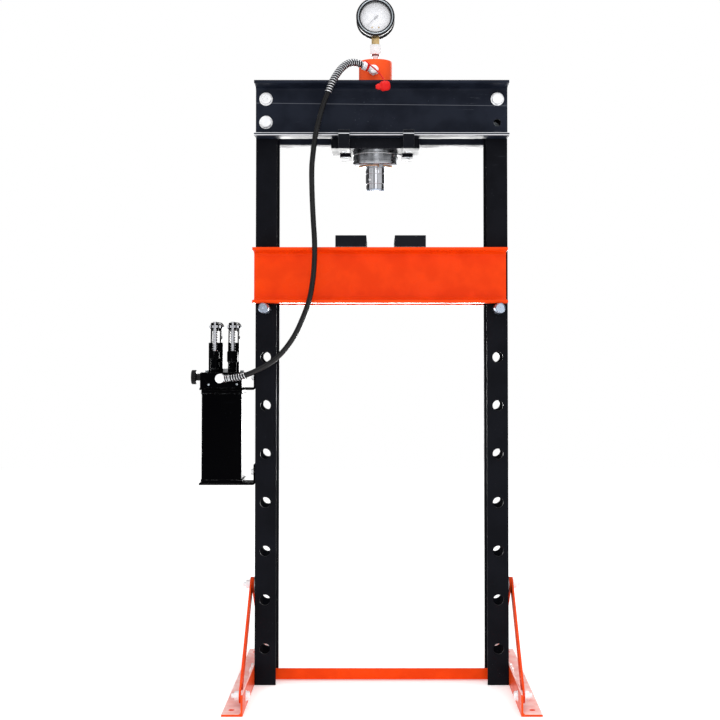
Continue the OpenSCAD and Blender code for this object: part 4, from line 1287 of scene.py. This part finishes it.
    def coupler(self) -> None:
        """Make the port elbow, its lock nut, the knurled coupling and the crimped ferrule."""
        port = vec(*self.port)
        form = Form()
        form.turned([(7, -9), (7, 20)], self.port, BACK, 32)
        form.turned([(0.01, -10), (9.5, -10), (11.3, -8.4), (11.8, -6), (11.8, 4.6), (11.3, 5.6),
                     (11.3, 9.4), (0.01, 9.4)], self.port, BACK, 48)
        form.turned([(6, 3.5), (13, 3.5), (13.4, 4.2), (13.4, 8.6), (13, 9.4), (6, 9.4)], self.port,
                    BACK, 72, flats=24)
        self.along(form, [(0.01, -4), (8.5, -3.5), (8.5, 9), (9.6, 10), (9.6, 16), (8.6, 16.6)], 40)
        form.turned([(8.6, 22.5), (10.2, 22.6), (10.8, 23.3), (10.8, 30.4), (10.2, 31), (8.6, 31.2)],
                    self.port, tuple(-c for c in self.port_way), 108, lobes=36, depth=0.5)
        rows = [(8.5 if i % 2 else 8.15, 9 + 1.5 * i) for i in range(17)]
        self.along(form, [(7.2, 8), *rows, (7.0, 33.7), (0.01, 33.7)], 40)
        form.piece("port_coupling", "port_coupler", ZINC)
        seal = Form()
        seal.turned([(9, 9.5), (11.6, 9.5), (11.6, 10.0), (9, 10.0)], port, BACK, 40)
        seal.piece("port_seal", "port_coupler", COPPER, whole=False)

    def cap(self) -> None:
        """Make the red dust cap, its strap and the ring that holds it on the coupling."""
        port, way = vec(*self.port), -vec(*self.port_way)
        form = Form()
        self.along(form, [(8.7, 17), (10.4, 17), (11, 17.6), (11, 21.4), (10.4, 22), (8.7, 22)], 40)
        offsets = np.array([(-21.6, -11, 20.3), (-9.6, -21, 8.3), (3.4, -36, -5.7), (14.4, -52, -19.7),
                            (23.4, -66, -34.7), (26.4, -71, -44.7)], float)
        start = port + way * 19 + vec(-1, -6.5, 7)
        strap = smooth_route(np.vstack([start, port + offsets]), 8)
        form.tube(strap, 2.1, 12, ACROSS, 0.62)
        for q in (port + offsets)[1:-1]:
            form.turned([(0.01, -2.2), (1.6, -1.9), (2.6, -0.6), (2.6, 0.6), (1.6, 1.9), (0.01, 2.2)], q,
                        unit(vec(0.3, -0.5, -0.8)), 18)
        centre = port + vec(24.4, -73, -56.7)
        along = unit(vec(13, 2, 2))
        form.turned([(0.01, -8.4), (8, -8.2), (9.6, -6.6), (10.2, -5.2), (12, -4.8), (12.5, -3.6),
                     (12.5, 11.4), (12, 12.6), (10.4, 13.2), (9.8, 15.4), (8.2, 16.6), (0.01, 16.8)],
                     centre, along, 60, lobes=20, depth=0.55)
        form.turned([(7.3, -2), (7.4, -14), (7.0, -15.4), (5.6, -15.6), (5.3, -18.4), (4.4, -19.4),
                     (0.01, -19.5)], centre, along, 40)
        form.piece("red_dust_cap", "dust_cap", RED, sharp=40)

    def build(self) -> None:
        """Make the whole carriage."""
        self.mounting()
        self.barrel()
        self.collar()
        self.ram()
        self.coupler()
        self.cap()


# ---------------------------------------------------------------- gauge
@dataclass
class Gauge:
    """Pressure gauge on its brass socket and plated adapter."""

    x: float = -16
    z: float = 1710
    radius: float = 50
    base: float = 1597

    def face(self, form: Form, profile: Sequence[Sequence[float]], sides: int = 120) -> Form:
        """Turn a profile about the gauge's level axis, its heights counted to the front."""
        return form.turned([(r, h) for r, h in profile], (self.x, 0, self.z), (0, -1, 0), sides)

    def case(self) -> None:
        """Turn the drum with a stepped double bezel, and the rear flange with its screws."""
        r = self.radius
        case = self.face(Form(), [(0.01, -20), (r - 0.5, -20), (r, -19.5), (r, -17.4), (r - 0.6, -17),
                                  (r - 4, -16), (r - 4, 15.5), (r - 1, 16.4), (r, 17.4), (r, 25.6),
                                  (r - 0.8, 27.6), (r - 2.6, 28.7), (r - 4.6, 28.9), (r - 5.3, 27.6),
                                  (r - 6.1, 27.6), (r - 6.8, 28.6), (r - 9, 28.4), (r - 10.4, 27.2),
                                  (r - 11, 25.4), (r - 11, 12), (0.01, 12)])
        case.piece("gauge_drum", "gauge_case", BEZEL, sharp=40)
        ring = self.face(Form(), [(r - 7.4, 27.2), (r - 6.9, 28.9), (r - 6.2, 29.4), (r - 5.2, 29.4),
                                  (r - 4.5, 28.9), (r - 4.2, 27.2), (r - 7.4, 27.2)])
        ring.faces = ring.faces[:-2]
        ring.piece("bezel_ring", "gauge_case", ZINC_DULL, whole=False, sharp=40)
        screws = Form()
        for a in (-30, 90, 210):
            at = (self.x + (r - 4) * math.cos(math.radians(a)), 17,
                  self.z + (r - 4) * math.sin(math.radians(a)))
            screws.turned([(0.01, 5.4), (1.4, 5.4), (1.5, 6), (2.7, 5.7), (3, 4.6), (3, 0), (0.01, 0)],
                          at, BACK, 32)
        screws.piece("gauge_flange_screws", "gauge_case", ZINC_DULL, whole=False)

    def dial(self) -> None:
        """Make the dial plate, its fine scale, the hub and the two small screws."""
        r = self.radius - 11.2
        plate = self.face(Form(), [(3.4, 12), (r, 12), (r, 13.2), (r - 0.3, 13.3), (3.5, 13.3),
                                   (3.4, 13.1)], 96)
        plate.piece("dial_plate", "gauge_dial", DIAL)
        marks = Form()
        for i, a in enumerate(np.radians(np.linspace(225, -45, 51))):
            long = i % 5 == 0
            out, width, reach = r - 2.6, 0.42 if long else 0.22, 4.2 if long else 2.4
            ux, uz = math.cos(a), math.sin(a)
            shape = rounded([(0, -width, 0.1), (reach, -width, 0.1), (reach, width, 0.1),
                             (0, width, 0.1)], 2)
            marks.extruded(shape, (self.x + (out - reach) * ux, -13.28, self.z + (out - reach) * uz),
                           (ux, 0, uz), (-uz, 0, ux), (0, -0.1, 0))
        marks.piece("dial_scale", "gauge_dial", PRINT, whole=False)
        small = Form()
        for x in (-8.5, 8.5):
            small.turned([(0.01, 0.6), (0.7, 0.6), (0.9, 1.2), (1.9, 1.1), (2.2, 0.6), (2.2, 0),
                          (0.01, 0)], (self.x + x, -13.3, self.z - 25), (0, -1, 0), 28)
        small.piece("dial_screws", "gauge_dial", BRASS, whole=False)
        pane = self.face(Form(), [(0.01, 24.1), (r + 0.1, 24.1), (r + 0.1, 26.2), (r - 3, 26.45),
                                  (0.01, 26.6)], 96)
        pane.piece("gauge_pane", "gauge_glass", WINDOW)
        softened("gauge_pointer", PRINT, 0.12)

    def stem(self) -> None:
        """Make the square brass socket, the hexagon adapter and its seals."""
        x, b = self.x, self.base
        square = rounded([(-10, -7, 1.2), (10, -7, 1.2), (10, 7, 1.2), (-10, 7, 1.2)], 4)
        brass = Form().extruded(square, (x, 0, b + 44.6), ACROSS, BACK, (0, 0, 24.4))
        brass.turned([(5, 42), (9.6, 42.4), (10.4, 43.2), (10.4, 44.9), (5, 45)], (x, 0, b), UP, 48)
        brass.piece("brass_socket", "gauge_socket", BRASS, bevel=0.4)
        nut = Form()
        nut.turned([(6, -18), (6, 2), (6.9, 2.2), (6.9, 11.8), (9.6, 12), (10, 12.4), (10, 14.6),
                    (9.6, 15), (7, 15.2), (7, 18.8), (0.01, 18.8)], (x, 0, b), UP, 48)
        nut.turned([(6, 18.7), (13, 18.7), (14.4, 19.6), (15.5, 20.6), (15.5, 41.6), (14.6, 43.2),
                    (13.2, 44.5), (0.01, 44.5)], (x, 0, b), UP, 72, flats=27)
        nut.piece("hexagon_adapter", "gauge_adapter", ZINC)
        seal = Form().turned([(7.0, 0.3), (10.6, 0.3), (11, 0.8), (11, 3.0), (10.6, 3.4), (7.0, 3.4)],
                             (x, 0, b), UP, 48)
        seal.turned([(6.9, 15.6), (9.2, 15.6), (9.7, 16.1), (9.7, 18.1), (9.2, 18.6), (6.9, 18.6)],
                    (x, 0, b), UP, 48)
        seal.piece("adapter_seals", "gauge_adapter", RUBBER, whole=False)

    def build(self) -> None:
        """Make the gauge."""
        self.case()
        self.dial()
        self.stem()


# ---------------------------------------------------------------- pump
@dataclass
class Pump:
    """Two-stage hand pump on its oil reservoir, bolted to the left upright."""

    x: float = -408
    units: tuple[float, float] = (-430, -384)
    y: float = -10
    block_top: float = 789
    gland: float = 844
    pivot_z: float = 907
    tank_low: float = 508
    tank_high: float = 745
    elbow: tuple[float, float, float] = (-409.21, -73.48, 772.85)
    elbow_way: tuple[float, float, float] = (-0.9697, 0.2121, -0.1212)

    def tank(self) -> None:
        """Dress the oil tank and lay the weld seams of its rims."""
        softened("pump_reservoir", PUMP_BLACK, 1.0)
        seams = Form()
        for z in (self.tank_low + 8.6, self.tank_high - 8.6):
            for s in (-1, 1):
                seams.weld((self.x - 45, s * 50.3, z), (self.x + 45, s * 50.3, z), 1.7, BACK)
                seams.weld((self.x + s * 51.3, -44, z), (self.x + s * 51.3, 44, z), 1.7, ACROSS)
        seams.piece("tank_seams", "pump_reservoir", PUMP_BLACK, whole=False)
        softened("pump_brackets", PUMP_BLACK, 0.6)
        bolts = Form()
        for z in (535, 777):
            for y in (-26, 26):
                bolts.bolt((-327, y, z), (-1, 0, 0), 13, 5, 0, 17, 1.6)
                bolts.bolt((-316, y, z), (1, 0, 0), 13, 6.5, 4, 17, 1.6)
                bolts.turned([(4, 0), (4, 13)], (-328, y, z), ACROSS, 20)
        bolts.piece("bracket_bolts", "pump_bolts", ZINC)

    def block(self) -> None:
        """Dress the head block and add its plugs, socket screws and the filler plug."""
        softened("pump_manifold", PUMP_BLACK, 0.8)
        small = Form()
        for x, z in ((-441, 759), (-369, 760)):
            small.turned([(0.01, -1.0), (0.9, -1.0), (1.1, 0.8), (2.4, 0.7), (2.7, 0.3), (2.7, -0.6),
                          (1.6, -2), (0.01, -2)], (x, -50.2, z), (0, -1, 0), 36)
        for x in (-455, -364):
            small.turned([(0.01, 2.2), (2.4, 2.2), (2.6, 5), (4.4, 5), (5, 4.4), (5, 0), (0.01, 0)],
                         (x, 30, self.block_top), UP, 36)
        small.piece("block_screws", "pump_manifold", ZINC_DULL, whole=False)
        plug = Form().bolt((self.x + 1, 34, self.block_top), UP, 17, 8, 0, 22, 1.6)
        plug.piece("filler_screw", "filler_plug", ZINC)

    def knob(self) -> None:
        """Turn the fluted release knob with its stem."""
        at = (-463 - 28, 0, 777)
        form = Form().turned([(0.01, 0.8), (6, 0.8), (6.6, 0), (16.6, 0), (18.4, 1.6), (18.5, 11.4),
                              (16.8, 13), (9.5, 13), (9, 14), (9, 48), (0.01, 48)], at, ACROSS, 144,
                              lobes=24, depth=1.5)
        form.piece("fluted_knob", "release_knob", KNOB_BLACK, sharp=40)
        ring = Form().turned([(9.3, 24.4), (12.4, 24.4), (13, 25), (13, 27.4), (12.4, 27.9),
                              (9.3, 27.9)], at, ACROSS, 48)
        ring.piece("stem_ring", "pump_manifold", ZINC_DULL, whole=False)

    def barrels(self) -> None:
        """Turn both pump barrels with their bevelled gland hexagons and grooves."""
        for node, x, d, af, h in (("pump_barrel_left", self.units[0], 22, 24, 20),
                                  ("pump_barrel_right", self.units[1], 19, 27, 28)):
            r, top, low = d / 2, self.gland, self.block_top
            form = Form().turned([(4.6, low - 18), (8, low - 18), (8, low + 0.1), (r, low + 0.3),
                                  (r, low + 9), (r - 0.7, low + 9.4), (r - 0.7, low + 11),
                                  (r, low + 11.4), (r, top - h - 0.1), (4.6, top - h - 0.1),
                                  (4.6, low - 18)], (x, self.y, 0), UP, 60)
            f = af / 2
            nut = [(4.6, top - h), (f * 0.98, top - h), (f * 1.15, top - h + 1.6), (f * 1.15, top - 2),
                   (f * 0.98, top), (4.6, top), (4.6, top - h)]
            form.turned(nut, (x, self.y, 0), UP, 72, flats=af)
            form.faces = [q for q in form.faces if len(q) == 4]
            placed(node + "_turned", form.mesh(node + "_turned"), node, PUMP_BLACK, (node,))

    def levers(self) -> None:
        """Dress the fulcrum brackets and the rockers, and add the pivot clips, chrome plungers and coil
        springs.
        """
        for side, x in zip(("left", "right"), self.units):
            softened("fulcrum_" + side, PUMP_BLACK, 0.5)
            softened("rocker_" + side, PUMP_BLACK, 0.5)
            clips = Form()
            for s in (-1, 1):
                at = (x + s * 15.0, 20, self.pivot_z)
                clips.turned([(0.01, 0.05), (4.0, 0.05), (5.6, 0.2), (5.9, 0.7), (5.6, 1.2), (3.2, 1.4),
                              (2.8, 2.0), (0.01, 2.2)], at, (s, 0, 0), 32)
            placed("pivot_clips_" + side, clips.mesh("pivot_clips_" + side), "rocker_" + side, ZINC_DULL)
            frame["nodes"]["plunger_" + side].data.materials[0] = CHROME.material()
            line = helix((x, self.y), self.gland + 1.2, self.pivot_z - 7.4, 5.9, 10)
            spring = Form().tube(line, 0.95, 10, UP)
            placed("plunger_spring_" + side, spring.mesh("plunger_spring_" + side),
                   "pump_spring_" + side, SPRING, ("pump_spring_" + side,))

    def fittings(self) -> None:
        """Make the hose elbow on the block, and its crimped ferrule."""
        e = vec(*self.elbow)
        way = tuple(-c for c in self.elbow_way)
        form = Form()
        mid = (-409, -76, 775)
        form.turned([(0.01, -11.5), (9, -11.5), (11.2, -9.8), (11.8, -7.4), (11.8, 13), (9.5, 13.6),
                     (9.5, 26), (0.01, 26)], mid, BACK, 48)
        form.turned([(6, 13.2), (11.4, 13.2), (12.4, 14), (12.4, 20.4), (11.4, 21.4), (6, 21.4)], mid,
                    BACK, 72, flats=22)
        form.turned([(6.4, 20), (6.4, 29.8)], mid, BACK, 32)
        form.piece("pump_hose_elbow", "pump_elbow", ZINC)
        sleeve = Form().turned([(0.01, -5), (7.2, -4), (7.2, 25.2), (6.8, 25.7), (0.01, 25.7)], e, way,
                               40)
        sleeve.piece("crimped_sleeve", "pump_elbow", KNOB_BLACK, whole=False)
        turn = np.linspace(0, 4.4 * math.tau, 90)[:, None]
        along = unit(vec(*way))
        flat = unit(np.cross(along, vec(*BACK)))
        wire = (e + along * (turn / math.tau * 5.4 + 1.2)
                + 8.5 * (np.cos(turn) * flat + np.sin(turn) * np.cross(along, flat)))
        Form().tube(wire, 1.4, 10, along).piece("sleeve_coil", "pump_elbow", SPRING, whole=False)

    def build(self) -> None:
        """Make the whole pump."""
        self.tank()
        self.block()
        self.knob()
        self.barrels()
        self.levers()
        self.fittings()


def main() -> None:
    """Build the studio and every sub-assembly in order."""
    logging.basicConfig(level=logging.INFO, format="%(message)s")
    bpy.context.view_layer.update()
    for part in (Studio(), HoseLine(), SteelFrame(), Feet(), Bed(), Carriage(), Gauge(), Pump()):
        LOG.info("building %s", type(part).__name__)
        part.build()


if __name__ == "__main__":
    main()
